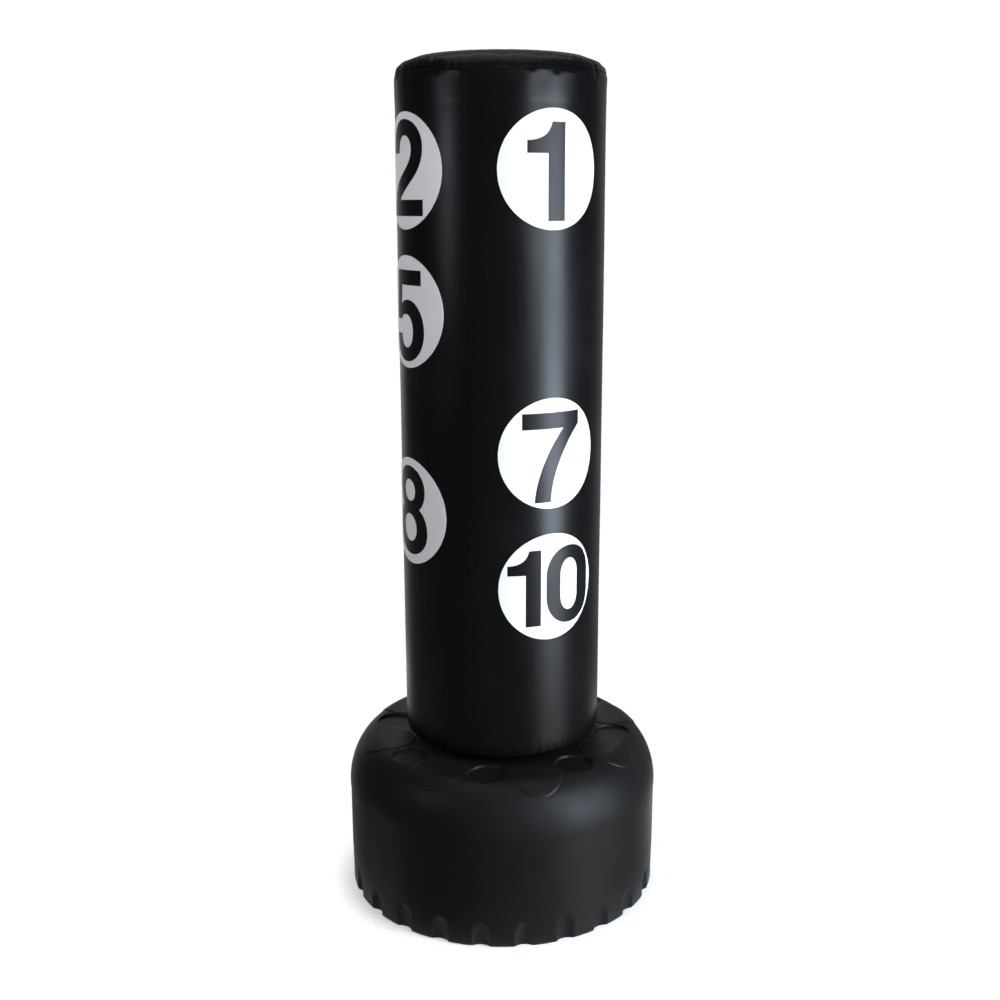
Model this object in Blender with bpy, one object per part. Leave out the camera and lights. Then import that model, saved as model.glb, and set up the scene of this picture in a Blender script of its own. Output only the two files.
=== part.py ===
"""A free-standing punching bag: a hollow moulded base, a plastic core post, foam and a vinyl cover.

Metres, +Z up. The origin is the centre of the base's resting face. -Y is the front, where a dimple of
the base's pattern points. Run it in Blender 4.5: it clears the scene and models the bag at rest.
"""

import math

import bmesh
import bpy
from mathutils import Matrix, Vector

Material = bpy.types.Material
Mesh = bmesh.types.BMesh

# Fits
CLEARANCE = 0.0003
THREAD_CLEARANCE = 0.0005
LAP = 0.002

# Base shell
BASE_RADIUS = 0.3135
BASE_HEIGHT = 0.314
BASE_WALL = 0.004
SHOULDER_WIDTH = 0.0625
SHOULDER_HEIGHT = 0.097
SHOULDER_POWER = 1.83
PARTING_DROP = 0.008
PARTING_STEP = 0.0008
FOOT_ROUND = 0.013
REST_RING_WIDTH = 0.045
UNDERSIDE_RISE = 0.008

# Pattern of the base: round pads and dimples in turn, and scoops round the foot
PATTERN_COUNT = 8
PAD_RADIUS = 0.0525
PAD_INSET = 0.0785
PAD_HEIGHT = 0.0018
DIMPLE_RADIUS = 0.036
DIMPLE_INSET = 0.0875
DIMPLE_DEPTH = 0.005
SCOOPS_PER_DIMPLE = 3
SCOOP_WIDTH = 0.035
SCOOP_DEPTH = 0.011
SCOOP_HEIGHT = 0.056

# Neck and socket for the core
SOCKET_RADIUS = 0.0805
SOCKET_SPARE = 0.0176
NECK_WALL = 0.012
NECK_RISE = 0.006

# Fill port and cap, in the dimple at the back
PORT_RADIUS = 0.022
PORT_BOSS_WALL = 0.008
PORT_BOSS_LENGTH = 0.018
PORT_DIMPLE = PATTERN_COUNT // 2
CAP_HEAD_RADIUS = 0.0285
CAP_HEAD_HEIGHT = 0.008
CAP_PLUG_LENGTH = 0.016
CAP_PLUG_WALL = 0.0035
CAP_GRIP_WIDTH = 0.009
CAP_GRIP_DEPTH = 0.004
CAP_GRIP_MARGIN = 0.005
CAP_EDGE = 0.002
FILL_GASKET_HEIGHT = 0.002

# Core
NECK_GASKET_HEIGHT = 0.003
SPIGOT_LENGTH = 0.100
SPIGOT_WALL = 0.006
FLANGE_OVERHANG = 0.0275
FLANGE_HEIGHT = 0.010
POST_RADIUS = 0.080
POST_WALL = 0.006
POST_BOSS_HEIGHT = 0.060
CAP_SKIRT_HEIGHT = 0.030
CAP_SKIRT_WALL = 0.004
CAP_CROWN = 0.012
CAP_RIM = 0.004
SCREW_COUNT = 4
SCREW_HEAD_RADIUS = 0.0045
SCREW_SHANK_RADIUS = 0.002
SCREW_HEAD_HEIGHT = 0.0025
POST_SCREW_BITE = 0.005
POST_SCREW_RISE = 0.030
PLATE_SCREW_BITE = 0.007
PLATE_SCREW_INSET = 0.014

# Foam
PLATE_HEIGHT = 0.009
INNER_FOAM_WALL = 0.050
FOAM_TOP_HEIGHT = 0.062

# Vinyl cover
BAG_RADIUS = 0.195
BAG_HEIGHT = 1.2968
COVER_THICKNESS = 0.0018
COVER_FOOT_ROUND = 0.006
CROWN_RISE = 0.006
CROWN_EDGE_WIDTH = 0.089
CROWN_EDGE_HEIGHT = 0.0417
CROWN_POWER = 2.8
SEAM_DROP = 0.034
SEAM_ROLL = 0.0015
SEAM_ALLOWANCE = 0.008
HEM_GAP = 0.020
CORD_RADIUS = 0.0022
GUTTER_WIDTH = 0.009
GUTTER_DEPTH = 0.006
GUTTER_LIP = 0.003

# Number discs: the column, counted from the front right, and the height in steps under the highest disc
DISC_RADIUS = 0.104
DISC_THICKNESS = 0.001
DISC_STEP = 0.2505
TOP_DISC_DROP = 0.2098
COLUMN_COUNT = 4
COLUMN_TURN = math.radians(35.75)
DISCS = {
    "disc_1": (0, 0),
    "disc_2": (3, 0),
    "disc_3": (1, 0),
    "disc_4": (2, 0),
    "disc_5": (3, 1),
    "disc_6": (1, 1),
    "disc_7": (0, 2),
    "disc_8": (3, 2.5),
    "disc_9": (1, 2.5),
    "disc_10": (0, 3),
}

# Facets
BASE_SEGMENTS = 48
COVER_SEGMENTS = 48
PLAIN_SEGMENTS = 24
SMALL_SEGMENTS = 24
SCOOP_SEGMENTS = 8
SCOOP_STEPS = 5
SCREW_SEGMENTS = 8
DISC_SEGMENTS = 40
DISC_STRIPS = 12
CORD_SIDES = 6
ARC_STEPS = 3
EDGE_STEPS = 6
SMOOTH_ANGLE = math.radians(32)
DOUBLES = 1e-6

# Heights and radii that follow from the sizes above
NECK_RADIUS = SOCKET_RADIUS + NECK_WALL
NECK_TOP_Z = BASE_HEIGHT + NECK_RISE
CUTTER_TOP_Z = NECK_TOP_Z + LAP
FLANGE_RADIUS = NECK_RADIUS + FLANGE_OVERHANG
FLANGE_Z = NECK_TOP_Z + CLEARANCE + NECK_GASKET_HEIGHT + CLEARANCE
SOCKET_FLOOR_Z = FLANGE_Z - SPIGOT_LENGTH - SOCKET_SPARE
FLANGE_TOP_Z = FLANGE_Z + FLANGE_HEIGHT
PLATE_Z = FLANGE_TOP_Z + CLEARANCE
PLATE_TOP_Z = PLATE_Z + PLATE_HEIGHT
COVER_Z = PLATE_Z - CLEARANCE - COVER_THICKNESS
CROWN_Z = COVER_Z + BAG_HEIGHT
EDGE_TOP_Z = CROWN_Z - CROWN_RISE
RIM_Z = EDGE_TOP_Z - CROWN_EDGE_HEIGHT
SEAM_Z = CROWN_Z - SEAM_DROP
FOAM_Z = PLATE_TOP_Z + CLEARANCE
FOAM_TOP_Z = RIM_Z + CROWN_EDGE_HEIGHT - FOAM_TOP_HEIGHT
FOAM_RADIUS = BAG_RADIUS - COVER_THICKNESS - CLEARANCE
PLATE_RADIUS = FOAM_RADIUS - COVER_FOOT_ROUND
POST_Z = FLANGE_TOP_Z + CLEARANCE
POST_BORE = POST_RADIUS - POST_WALL
POST_SCREW_LENGTH = POST_WALL + POST_SCREW_BITE
PLATE_SCREW_LENGTH = PLATE_HEIGHT + PLATE_SCREW_BITE
INNER_FOAM_RADIUS = POST_RADIUS + CLEARANCE + INNER_FOAM_WALL
HEM_END = FLANGE_RADIUS + HEM_GAP
PAD_CENTRE = BASE_RADIUS - PAD_INSET
DIMPLE_CENTRE = BASE_RADIUS - DIMPLE_INSET
DIMPLE_FLOOR_Z = BASE_HEIGHT - DIMPLE_DEPTH
WALL_RADIUS = BASE_RADIUS - PARTING_STEP
WALL_TOP_Z = BASE_HEIGHT - SHOULDER_HEIGHT
SCOOP_COUNT = PATTERN_COUNT * SCOOPS_PER_DIMPLE
REST_INNER = WALL_RADIUS - FOOT_ROUND - REST_RING_WIDTH
CAP_Z = DIMPLE_FLOOR_Z + CLEARANCE + FILL_GASKET_HEIGHT + CLEARANCE


def clear_scene() -> None:
    """Removes every object, so that the script can be run again."""
    for obj in list(bpy.data.objects):
        bpy.data.objects.remove(obj, do_unlink=True)


def material(name: str, colour: tuple, roughness: float, metallic: float = 0.0) -> Material:
    """Returns a Principled material of one colour."""
    made = bpy.data.materials.new(name)
    made.use_nodes = True
    shader = made.node_tree.nodes["Principled BSDF"]
    shader.inputs["Base Color"].default_value = (*colour, 1.0)
    shader.inputs["Roughness"].default_value = roughness
    shader.inputs["Metallic"].default_value = metallic
    made.diffuse_color = (*colour, 1.0)
    return made


def polar(radius: float, angle: float) -> tuple:
    """Returns x and y at this radius and angle, measured from the front (-Y) towards +X."""
    return radius * math.sin(angle), -radius * math.cos(angle)


def arc(centre: tuple, radius: float, start: float, end: float, steps: int = ARC_STEPS) -> list:
    """Returns the (r, z) points of an arc between two angles in degrees."""
    turns = [math.radians(start + (end - start) * i / steps) for i in range(steps + 1)]
    return [(centre[0] + radius * math.cos(t), centre[1] + radius * math.sin(t)) for t in turns]


def soft_corner(side: tuple, size: tuple, power: float, part: tuple = (0, 1), steps: int = EDGE_STEPS) -> list:
    """Returns the (r, z) points of a superellipse corner, from its side (0) to its flat (1) or part of it."""
    points = []
    for i in range(steps + 1):
        t = 0.5 * math.pi * (part[0] + (part[1] - part[0]) * i / steps)
        out = max(math.cos(t), 0.0) ** (2 / power)
        up = max(math.sin(t), 0.0) ** (2 / power)
        points.append((side[0] - size[0] * (1 - out), side[1] + size[1] * up))
    return points


def radius_at(line: list, z: float) -> float:
    """Returns the radius of a rising line at a height."""
    for (r_low, z_low), (r_high, z_high) in zip(line, line[1:]):
        if z_low <= z <= z_high:
            return r_low + (r_high - r_low) * (z - z_low) / (z_high - z_low)
    return line[-1][0]


def inset_line(line: list, distance: float) -> list:
    """Returns the open line moved to its right by a distance, mitred at its corners."""
    moved = []
    for i, point in enumerate(line):
        sides = [(a, b) for a, b in ((i - 1, i), (i, i + 1)) if a >= 0 and b < len(line)]
        normals = []
        for a, b in sides:
            run = Vector((line[b][0] - line[a][0], line[b][1] - line[a][1])).normalized()
            normals.append(Vector((run.y, -run.x)))
        mean = sum(normals, Vector((0, 0))).normalized()
        reach = distance / max(mean.dot(normals[0]), 0.5)
        moved.append((max(point[0] + mean.x * reach, 0.0), point[1] + mean.y * reach))
    return moved


def skin(line: list, thickness: float) -> list:
    """Returns the closed outline of a sheet that lies on the right of an open line."""
    return line + inset_line(line, thickness)[::-1]


def add_object(name: str, mesh: Mesh, finish: Material) -> bpy.types.Object:
    """Turns a bmesh into a named object, shaded smooth except at its sharp edges."""
    bmesh.ops.remove_doubles(mesh, verts=mesh.verts, dist=DOUBLES)
    bmesh.ops.recalc_face_normals(mesh, faces=mesh.faces)
    data = bpy.data.meshes.new(name)
    mesh.to_mesh(data)
    mesh.free()
    data.materials.append(finish)
    data.shade_smooth()
    data.set_sharp_from_angle(angle=SMOOTH_ANGLE)
    obj = bpy.data.objects.new(name, data)
    bpy.context.scene.collection.objects.link(obj)
    return obj


def turned_mesh(profile: list, segments: int) -> Mesh:
    """Spins an (r, z) outline round Z. An outline that ends on the axis is closed there."""
    mesh = bmesh.new()
    verts = [mesh.verts.new((r, 0, z)) for r, z in profile]
    pairs = list(zip(verts, verts[1:]))
    if profile[0][0] > DOUBLES or profile[-1][0] > DOUBLES:
        pairs.append((verts[-1], verts[0]))
    edges = [mesh.edges.new(pair) for pair in pairs]
    whole = 2 * math.pi
    bmesh.ops.spin(
        mesh, geom=verts + edges, axis=(0, 0, 1), cent=(0, 0, 0), angle=whole, steps=segments, use_merge=True
    )
    return mesh


def turned(name: str, profile: list, segments: int, finish: Material) -> bpy.types.Object:
    """Returns a turned piece."""
    return add_object(name, turned_mesh(profile, segments), finish)


def ring(name: str, radii: tuple, heights: tuple, finish: Material, segments: int = PLAIN_SEGMENTS):
    """Returns a flat ring or a plain sleeve between two radii and two heights."""
    inner, outer = radii
    low, high = heights
    return turned(name, [(outer, high), (outer, low), (inner, low), (inner, high)], segments, finish)


def cylinder_mesh(radius: float, heights: tuple, place: Matrix, segments: int = SMALL_SEGMENTS) -> Mesh:
    """Returns a cylinder between two heights along the Z of its place."""
    low, high = heights
    mesh = bmesh.new()
    middle = place @ Matrix.Translation((0, 0, 0.5 * (low + high)))
    bmesh.ops.create_cone(
        mesh, cap_ends=True, segments=segments, radius1=radius, radius2=radius, depth=high - low, matrix=middle
    )
    return mesh


def joined(meshes: list) -> Mesh:
    """Puts several meshes into one."""
    whole = bmesh.new()
    for mesh in meshes:
        data = bpy.data.meshes.new("part")
        mesh.to_mesh(data)
        mesh.free()
        whole.from_mesh(data)
        bpy.data.meshes.remove(data)
    return whole


def helper(name: str, mesh: Mesh, finish: Material) -> bpy.types.Object:
    """Returns an object that only cuts or joins others."""
    obj = add_object(name, mesh, finish)
    obj.hide_render = True
    obj.display_type = "WIRE"
    return obj


def boolean(target: bpy.types.Object, other: bpy.types.Object, operation: str = "DIFFERENCE") -> None:
    """Cuts, joins or trims the target with another object."""
    modifier = target.modifiers.new(f"{operation.title()} {other.name}", "BOOLEAN")
    modifier.operation = operation
    modifier.object = other
    modifier.solver = "EXACT"


def at(radius: float, angle: float, z: float = 0.0) -> Matrix:
    """Returns the place at a radius, angle and height, with its own Y pointing out from the axis."""
    x, y = polar(radius, angle)
    return Matrix.Translation((x, y, z)) @ Matrix.Rotation(angle + math.pi, 4, "Z")


def pattern_angles(count: int, phase: float = 0.0) -> list:
    """Returns evenly spaced angles. A phase of 0.5 puts them half a step round."""
    return [2 * math.pi * (i + phase) / count for i in range(count)]


def shoulder_line() -> list:
    """Returns the base's outer line from the flat top, over the shoulder, to the foot."""
    side = (BASE_RADIUS, WALL_TOP_Z)
    corner = soft_corner(side, (SHOULDER_WIDTH, SHOULDER_HEIGHT), SHOULDER_POWER)[::-1]
    parting = WALL_TOP_Z - PARTING_DROP
    wall = [(BASE_RADIUS, parting), (WALL_RADIUS, parting - PARTING_STEP), (WALL_RADIUS, SCOOP_HEIGHT)]
    return corner + wall + arc((WALL_RADIUS - FOOT_ROUND, FOOT_ROUND), FOOT_ROUND, 0, -90)


def base_profile() -> list:
    """Returns the closed outline of the base with its socket and underside."""
    inside = [(0, SOCKET_FLOOR_Z), (SOCKET_RADIUS, SOCKET_FLOOR_Z), (SOCKET_RADIUS, NECK_TOP_Z)]
    outside = [(NECK_RADIUS, NECK_TOP_Z), (NECK_RADIUS + NECK_RISE, BASE_HEIGHT)]
    under = [(REST_INNER, 0), (REST_INNER - UNDERSIDE_RISE, UNDERSIDE_RISE), (0, UNDERSIDE_RISE)]
    return inside + outside + shoulder_line() + under


def tank_profile() -> list:
    """Returns the outline of the hollow inside the base."""
    wall = WALL_RADIUS - BASE_WALL
    ceiling = DIMPLE_FLOOR_Z - BASE_WALL
    well = SOCKET_RADIUS + BASE_WALL
    well_floor = SOCKET_FLOOR_Z - BASE_WALL
    floor = UNDERSIDE_RISE + BASE_WALL
    channel = REST_INNER + BASE_WALL
    foot = wall - SCOOP_DEPTH - BASE_WALL
    foot_side = [(foot, FOOT_ROUND + BASE_WALL), (foot - FOOT_ROUND, BASE_WALL)]
    corner = soft_corner((wall, WALL_TOP_Z), (SHOULDER_WIDTH, ceiling - WALL_TOP_Z), SHOULDER_POWER)[::-1]
    well_side = [(0, well_floor), (well, well_floor), (well, ceiling)]
    floor_side = [(channel, BASE_WALL), (channel - UNDERSIDE_RISE, floor), (0, floor)]
    return well_side + corner + [(wall, SCOOP_HEIGHT + 3 * BASE_WALL)] + foot_side + floor_side


def pad_profile() -> list:
    """Returns a raised layer over the base's top and shoulder, from which the pads are cut."""
    line = [(NECK_RADIUS + NECK_RISE, BASE_HEIGHT)] + shoulder_line()[: EDGE_STEPS + 1]
    return inset_line(line, -PAD_HEIGHT) + inset_line(line, LAP)[::-1]


def scoop_mesh(angle: float) -> Mesh:
    """Returns an egg-shaped cutter that leaves an arched scoop in the foot of the wall."""
    mesh = bmesh.new()
    size = Matrix.Diagonal((SCOOP_WIDTH / 2, SCOOP_DEPTH + PARTING_STEP, SCOOP_HEIGHT, 1))
    place = at(BASE_RADIUS, angle) @ size
    bmesh.ops.create_uvsphere(mesh, u_segments=SCOOP_SEGMENTS, v_segments=SCOOP_STEPS, radius=1, matrix=place)
    return mesh


def port_place() -> Matrix:
    """Returns the place of the fill port's axis."""
    return at(DIMPLE_CENTRE, pattern_angles(PATTERN_COUNT)[PORT_DIMPLE])


def build_base(plastic: Material) -> None:
    """Makes the moulded shell: drum, shoulder, pads, dimples, scoops, socket, tank and fill port."""
    shell = turned("base_shell", base_profile(), BASE_SEGMENTS, plastic)

    pads = helper("pad_layer", turned_mesh(pad_profile(), BASE_SEGMENTS), plastic)
    outlines = [
        cylinder_mesh(PAD_RADIUS, (WALL_TOP_Z, CUTTER_TOP_Z), at(PAD_CENTRE, angle))
        for angle in pattern_angles(PATTERN_COUNT, 0.5)
    ]
    boolean(pads, helper("pad_outlines", joined(outlines), plastic), "INTERSECT")
    boolean(shell, pads, "UNION")

    dimples = [
        cylinder_mesh(DIMPLE_RADIUS, (DIMPLE_FLOOR_Z, CUTTER_TOP_Z), at(DIMPLE_CENTRE, angle))
        for angle in pattern_angles(PATTERN_COUNT)
    ]
    boolean(shell, helper("dimples", joined(dimples), plastic))
    scoops = [scoop_mesh(angle) for angle in pattern_angles(SCOOP_COUNT)]
    boolean(shell, helper("scoops", joined(scoops), plastic))

    tank = helper("tank", turned_mesh(tank_profile(), PLAIN_SEGMENTS), plastic)
    boss_low = DIMPLE_FLOOR_Z - PORT_BOSS_LENGTH
    boss = cylinder_mesh(PORT_RADIUS + PORT_BOSS_WALL, (boss_low, CUTTER_TOP_Z), port_place())
    boolean(tank, helper("port_boss", boss, plastic))
    boolean(shell, tank)
    port = cylinder_mesh(PORT_RADIUS, (boss_low - LAP, CUTTER_TOP_Z), port_place())
    boolean(shell, helper("port", port, plastic))


def build_fill_cap(plastic: Material, rubber: Material) -> None:
    """Makes the tank's screw-in cap with its finger grip, and its sealing ring."""
    gasket_z = DIMPLE_FLOOR_Z + CLEARANCE
    heights = (gasket_z, gasket_z + FILL_GASKET_HEIGHT)
    gasket = ring("fill_gasket", (PORT_RADIUS, CAP_HEAD_RADIUS), heights, rubber, SMALL_SEGMENTS)
    plug = PORT_RADIUS - THREAD_CLEARANCE
    inner = plug - CAP_PLUG_WALL
    top = CAP_Z + CAP_HEAD_HEIGHT
    low = CAP_Z - CAP_PLUG_LENGTH
    profile = [
        (0, top),
        (CAP_HEAD_RADIUS - CAP_EDGE, top),
        (CAP_HEAD_RADIUS, top - CAP_EDGE),
        (CAP_HEAD_RADIUS, CAP_Z),
        (plug, CAP_Z),
        (plug, low),
        (inner, low),
        (inner, CAP_Z),
        (0, CAP_Z),
    ]
    cap = turned("fill_cap", profile, SMALL_SEGMENTS, plastic)
    cutter = cylinder_mesh(CAP_HEAD_RADIUS - CAP_GRIP_MARGIN, (top - CAP_GRIP_DEPTH, top + LAP), Matrix())
    pockets = helper("cap_pockets", cutter, plastic)
    grip = bmesh.new()
    size = (2 * CAP_HEAD_RADIUS, CAP_GRIP_WIDTH, 2 * CAP_HEAD_HEIGHT, 1)
    bmesh.ops.create_cube(grip, size=1, matrix=Matrix.Translation((0, 0, top)) @ Matrix.Diagonal(size))
    bar = helper("cap_bar", grip, plastic)
    boolean(pockets, bar)
    boolean(cap, pockets)

    axis = bpy.data.objects.new("fill_cap_axis", None)
    bpy.context.scene.collection.objects.link(axis)
    axis.matrix_world = port_place()
    for piece in (gasket, cap, pockets, bar):
        piece.parent = axis


def screw(name: str, place: Matrix, length: float, steel: Material) -> bpy.types.Object:
    """Returns a countersunk screw whose head's face lies at its place, pointing along the place's Z."""
    profile = [
        (0, 0),
        (SCREW_HEAD_RADIUS, 0),
        (SCREW_SHANK_RADIUS, -SCREW_HEAD_HEIGHT),
        (SCREW_SHANK_RADIUS, SCREW_SHANK_RADIUS - length),
        (0, -length),
    ]
    made = turned(name, profile, SCREW_SEGMENTS, steel)
    made.matrix_world = place
    return made


def screw_hole(place: Matrix, length: float) -> Mesh:
    """Returns the cutter of a screw's hole, which leaves the clearance all round."""
    spare = CLEARANCE * 2
    head = SCREW_HEAD_RADIUS + spare
    shank = SCREW_SHANK_RADIUS + spare
    end = -length - LAP
    profile = [(0, LAP), (head, LAP), (head, 0), (shank, -SCREW_HEAD_HEIGHT), (shank, end), (0, end)]
    mesh = turned_mesh(profile, SCREW_SEGMENTS)
    bmesh.ops.remove_doubles(mesh, verts=mesh.verts, dist=DOUBLES)
    mesh.transform(place)
    return mesh


def post_screw_places() -> list:
    """Returns the places of the screws through the post, flush with its wall and pointing out."""
    z = POST_Z + POST_SCREW_RISE
    sunk = POST_RADIUS * math.cos(math.pi / PLAIN_SEGMENTS) - CLEARANCE
    outward = Matrix.Rotation(-math.pi / 2, 4, "X")
    return [at(sunk, angle, z) @ outward for angle in pattern_angles(SCREW_COUNT)]


def plate_screw_places() -> list:
    """Returns the places of the screws through the plywood ring, flush with its top."""
    radius = FLANGE_RADIUS - PLATE_SCREW_INSET
    return [at(radius, angle, PLATE_TOP_Z - CLEARANCE) for angle in pattern_angles(SCREW_COUNT, 0.5)]


def build_core(plastic: Material, pipe: Material, rubber: Material, wood: Material, steel: Material) -> None:
    """Makes the spigot, the post, its plug, the plywood ring, the neck's rubber ring and the screws."""
    gasket_z = NECK_TOP_Z + CLEARANCE
    radii = (SOCKET_RADIUS + THREAD_CLEARANCE, NECK_RADIUS)
    ring("neck_gasket", radii, (gasket_z, gasket_z + NECK_GASKET_HEIGHT), rubber)

    thread = SOCKET_RADIUS - THREAD_CLEARANCE
    boss = POST_BORE - CLEARANCE
    boss_top = FLANGE_TOP_Z + POST_BOSS_HEIGHT
    low = FLANGE_Z - SPIGOT_LENGTH
    outside = [(boss, boss_top), (boss, FLANGE_TOP_Z), (FLANGE_RADIUS, FLANGE_TOP_Z)]
    outside += [(FLANGE_RADIUS, FLANGE_Z), (thread, FLANGE_Z), (thread, low)]
    inside = [(thread - SPIGOT_WALL, low), (thread - SPIGOT_WALL, FLANGE_Z)]
    inside += [(boss - SPIGOT_WALL, FLANGE_TOP_Z), (boss - SPIGOT_WALL, boss_top)]
    spigot = turned("core_spigot", outside + inside, PLAIN_SEGMENTS, plastic)

    post_top = FOAM_TOP_Z - CAP_CROWN
    post = ring("core_post", (POST_BORE, POST_RADIUS), (POST_Z, post_top), pipe)
    plate = ring("foam_plate", (POST_RADIUS + CLEARANCE, PLATE_RADIUS), (PLATE_Z, PLATE_TOP_Z), wood)

    cap_z = post_top + CLEARANCE
    cap_top = FOAM_TOP_Z - CLEARANCE
    skirt = POST_BORE - CLEARANCE
    skirt_low = cap_z - CAP_SKIRT_HEIGHT
    lid = [(0, cap_top), (POST_RADIUS - CAP_CROWN, cap_top), (POST_RADIUS, cap_z + CAP_RIM)]
    lid += [(POST_RADIUS, cap_z), (skirt, cap_z), (skirt, skirt_low), (skirt - CAP_SKIRT_WALL, skirt_low)]
    lid += [(skirt - CAP_SKIRT_WALL, cap_z), (0, cap_z)]
    turned("core_cap", lid, PLAIN_SEGMENTS, plastic)

    post_places = post_screw_places()
    plate_places = plate_screw_places()
    cutters = [screw_hole(place, POST_SCREW_LENGTH) for place in post_places]
    post_holes = helper("post_holes", joined(cutters), steel)
    cutters = [screw_hole(place, PLATE_SCREW_LENGTH) for place in plate_places]
    plate_holes = helper("plate_holes", joined(cutters), steel)
    boolean(post, post_holes)
    boolean(spigot, post_holes)
    boolean(plate, plate_holes)
    boolean(spigot, plate_holes)
    for number, place in enumerate(post_places, 1):
        screw(f"post_screw_{number}", place, POST_SCREW_LENGTH, steel)
    for number, place in enumerate(plate_places, 1):
        screw(f"plate_screw_{number}", place, PLATE_SCREW_LENGTH, steel)


def crown_corner(start: float, end: float, steps: int) -> list:
    """Returns part of the cover's outer line round its top edge, from the wall (0) to the crown (1)."""
    size = (CROWN_EDGE_WIDTH, CROWN_EDGE_HEIGHT)
    return soft_corner((BAG_RADIUS, RIM_Z), size, CROWN_POWER, (start, end), steps)


def seam_share() -> float:
    """Returns how far round the top edge the seam lies."""
    rise = (SEAM_Z - RIM_Z) / CROWN_EDGE_HEIGHT
    return math.asin(rise ** (CROWN_POWER / 2)) / (0.5 * math.pi)


def seam_tuck() -> float:
    """Returns the radius where both panels turn in to the seam."""
    return crown_corner(0, seam_share(), 1)[-1][0] - SEAM_ROLL


def wall_line() -> list:
    """Returns the sleeve's outer line from its widest place up to the seam."""
    return crown_corner(0, seam_share(), 2)[:-1] + [(seam_tuck(), SEAM_Z - CLEARANCE / 2)]


def crown_line() -> list:
    """Returns the top panel's outer line from the seam up to the middle of the crown."""
    flat = BAG_RADIUS - CROWN_EDGE_WIDTH
    shares = [1 - i / ARC_STEPS for i in range(1, ARC_STEPS + 1)]
    crown = [(flat * share, EDGE_TOP_Z + CROWN_RISE * (1 - share**2)) for share in shares]
    return [(seam_tuck(), SEAM_Z + CLEARANCE / 2)] + crown_corner(seam_share(), 1, EDGE_STEPS)[1:] + crown


def build_foam(dense: Material, soft: Material) -> None:
    """Makes the two foam sleeves and the crowned top pad."""
    heights = (FOAM_Z, FOAM_TOP_Z - CLEARANCE)
    ring("foam_inner", (POST_RADIUS + CLEARANCE, INNER_FOAM_RADIUS), heights, dense)
    ring("foam_outer", (INNER_FOAM_RADIUS + CLEARANCE, FOAM_RADIUS), heights, soft)

    under = COVER_THICKNESS + CLEARANCE
    wall = [(FOAM_RADIUS, FOAM_TOP_Z)] + inset_line(wall_line(), -under)
    crown = inset_line(crown_line(), -under)
    bottom_of_groove = SEAM_Z - under - CLEARANCE
    top_of_groove = SEAM_Z + under + CLEARANCE
    groove = seam_tuck() - SEAM_ALLOWANCE - CLEARANCE
    profile = [(0, FOAM_TOP_Z)] + [point for point in wall if point[1] < bottom_of_groove]
    profile += [(radius_at(wall, bottom_of_groove), bottom_of_groove), (groove, bottom_of_groove)]
    profile += [(groove, top_of_groove), (radius_at(crown, top_of_groove), top_of_groove)]
    profile += [point for point in crown if point[1] > top_of_groove]
    turned("foam_top", profile, PLAIN_SEGMENTS, soft)


def build_cover(vinyl: Material, cord: Material) -> None:
    """Makes the sleeve with its hem, the crowned top panel and the hem's drawcord."""
    flap = seam_tuck() - SEAM_ALLOWANCE
    foot = arc((BAG_RADIUS - COVER_FOOT_ROUND, COVER_Z + COVER_FOOT_ROUND), COVER_FOOT_ROUND, 0, -90)
    gutter = HEM_END + GUTTER_LIP
    hem = [
        (gutter + GUTTER_WIDTH + GUTTER_DEPTH, COVER_Z),
        (gutter + GUTTER_WIDTH, COVER_Z - GUTTER_DEPTH),
        (gutter, COVER_Z - GUTTER_DEPTH),
        (HEM_END, COVER_Z - GUTTER_DEPTH + GUTTER_LIP),
    ]
    wall = wall_line()[::-1]
    line = [(flap, wall[0][1])] + wall + foot + hem
    turned("cover_sleeve", skin(line, COVER_THICKNESS), COVER_SEGMENTS, vinyl)

    crown = crown_line()[::-1]
    turned("cover_top", skin(crown + [(flap, crown[-1][1])], COVER_THICKNESS), COVER_SEGMENTS, vinyl)

    cord_z = COVER_Z - GUTTER_DEPTH + COVER_THICKNESS + CLEARANCE + CORD_RADIUS
    side = 360 / CORD_SIDES
    profile = arc((gutter + GUTTER_WIDTH / 2, cord_z), CORD_RADIUS, 0, side - 360, CORD_SIDES - 1)
    turned("hem_cord", profile, PLAIN_SEGMENTS, cord)


def build_disc(name: str, column: int, steps: float, white: Material) -> None:
    """Makes a round number panel that lies on the bag's wall."""
    centre = Vector((0, 0, CROWN_Z - TOP_DISC_DROP - steps * DISC_STEP))
    turn = COLUMN_TURN + column * 2 * math.pi / COLUMN_COUNT
    inner = BAG_RADIUS + CLEARANCE
    mesh = bmesh.new()
    bmesh.ops.create_circle(mesh, cap_ends=True, segments=DISC_SEGMENTS, radius=DISC_RADIUS)
    strip = 2 * DISC_RADIUS / DISC_STRIPS
    for i in range(1, DISC_STRIPS):
        everything = mesh.verts[:] + mesh.edges[:] + mesh.faces[:]
        bmesh.ops.bisect_plane(
            mesh, geom=everything, plane_co=(i * strip - DISC_RADIUS, 0, 0), plane_no=(1, 0, 0), dist=DOUBLES
        )
    flat = mesh.faces[:]
    raised = bmesh.ops.extrude_face_region(mesh, geom=flat, use_keep_orig=True)["geom"]
    outer = {vert for vert in raised if isinstance(vert, bmesh.types.BMVert)}
    for vert in mesh.verts:
        radius = inner + (DISC_THICKNESS if vert in outer else 0.0)
        x, y = polar(radius, turn + vert.co.x / BAG_RADIUS)
        vert.co = centre + Vector((x, y, vert.co.y))
    add_object(name, mesh, white)


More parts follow.
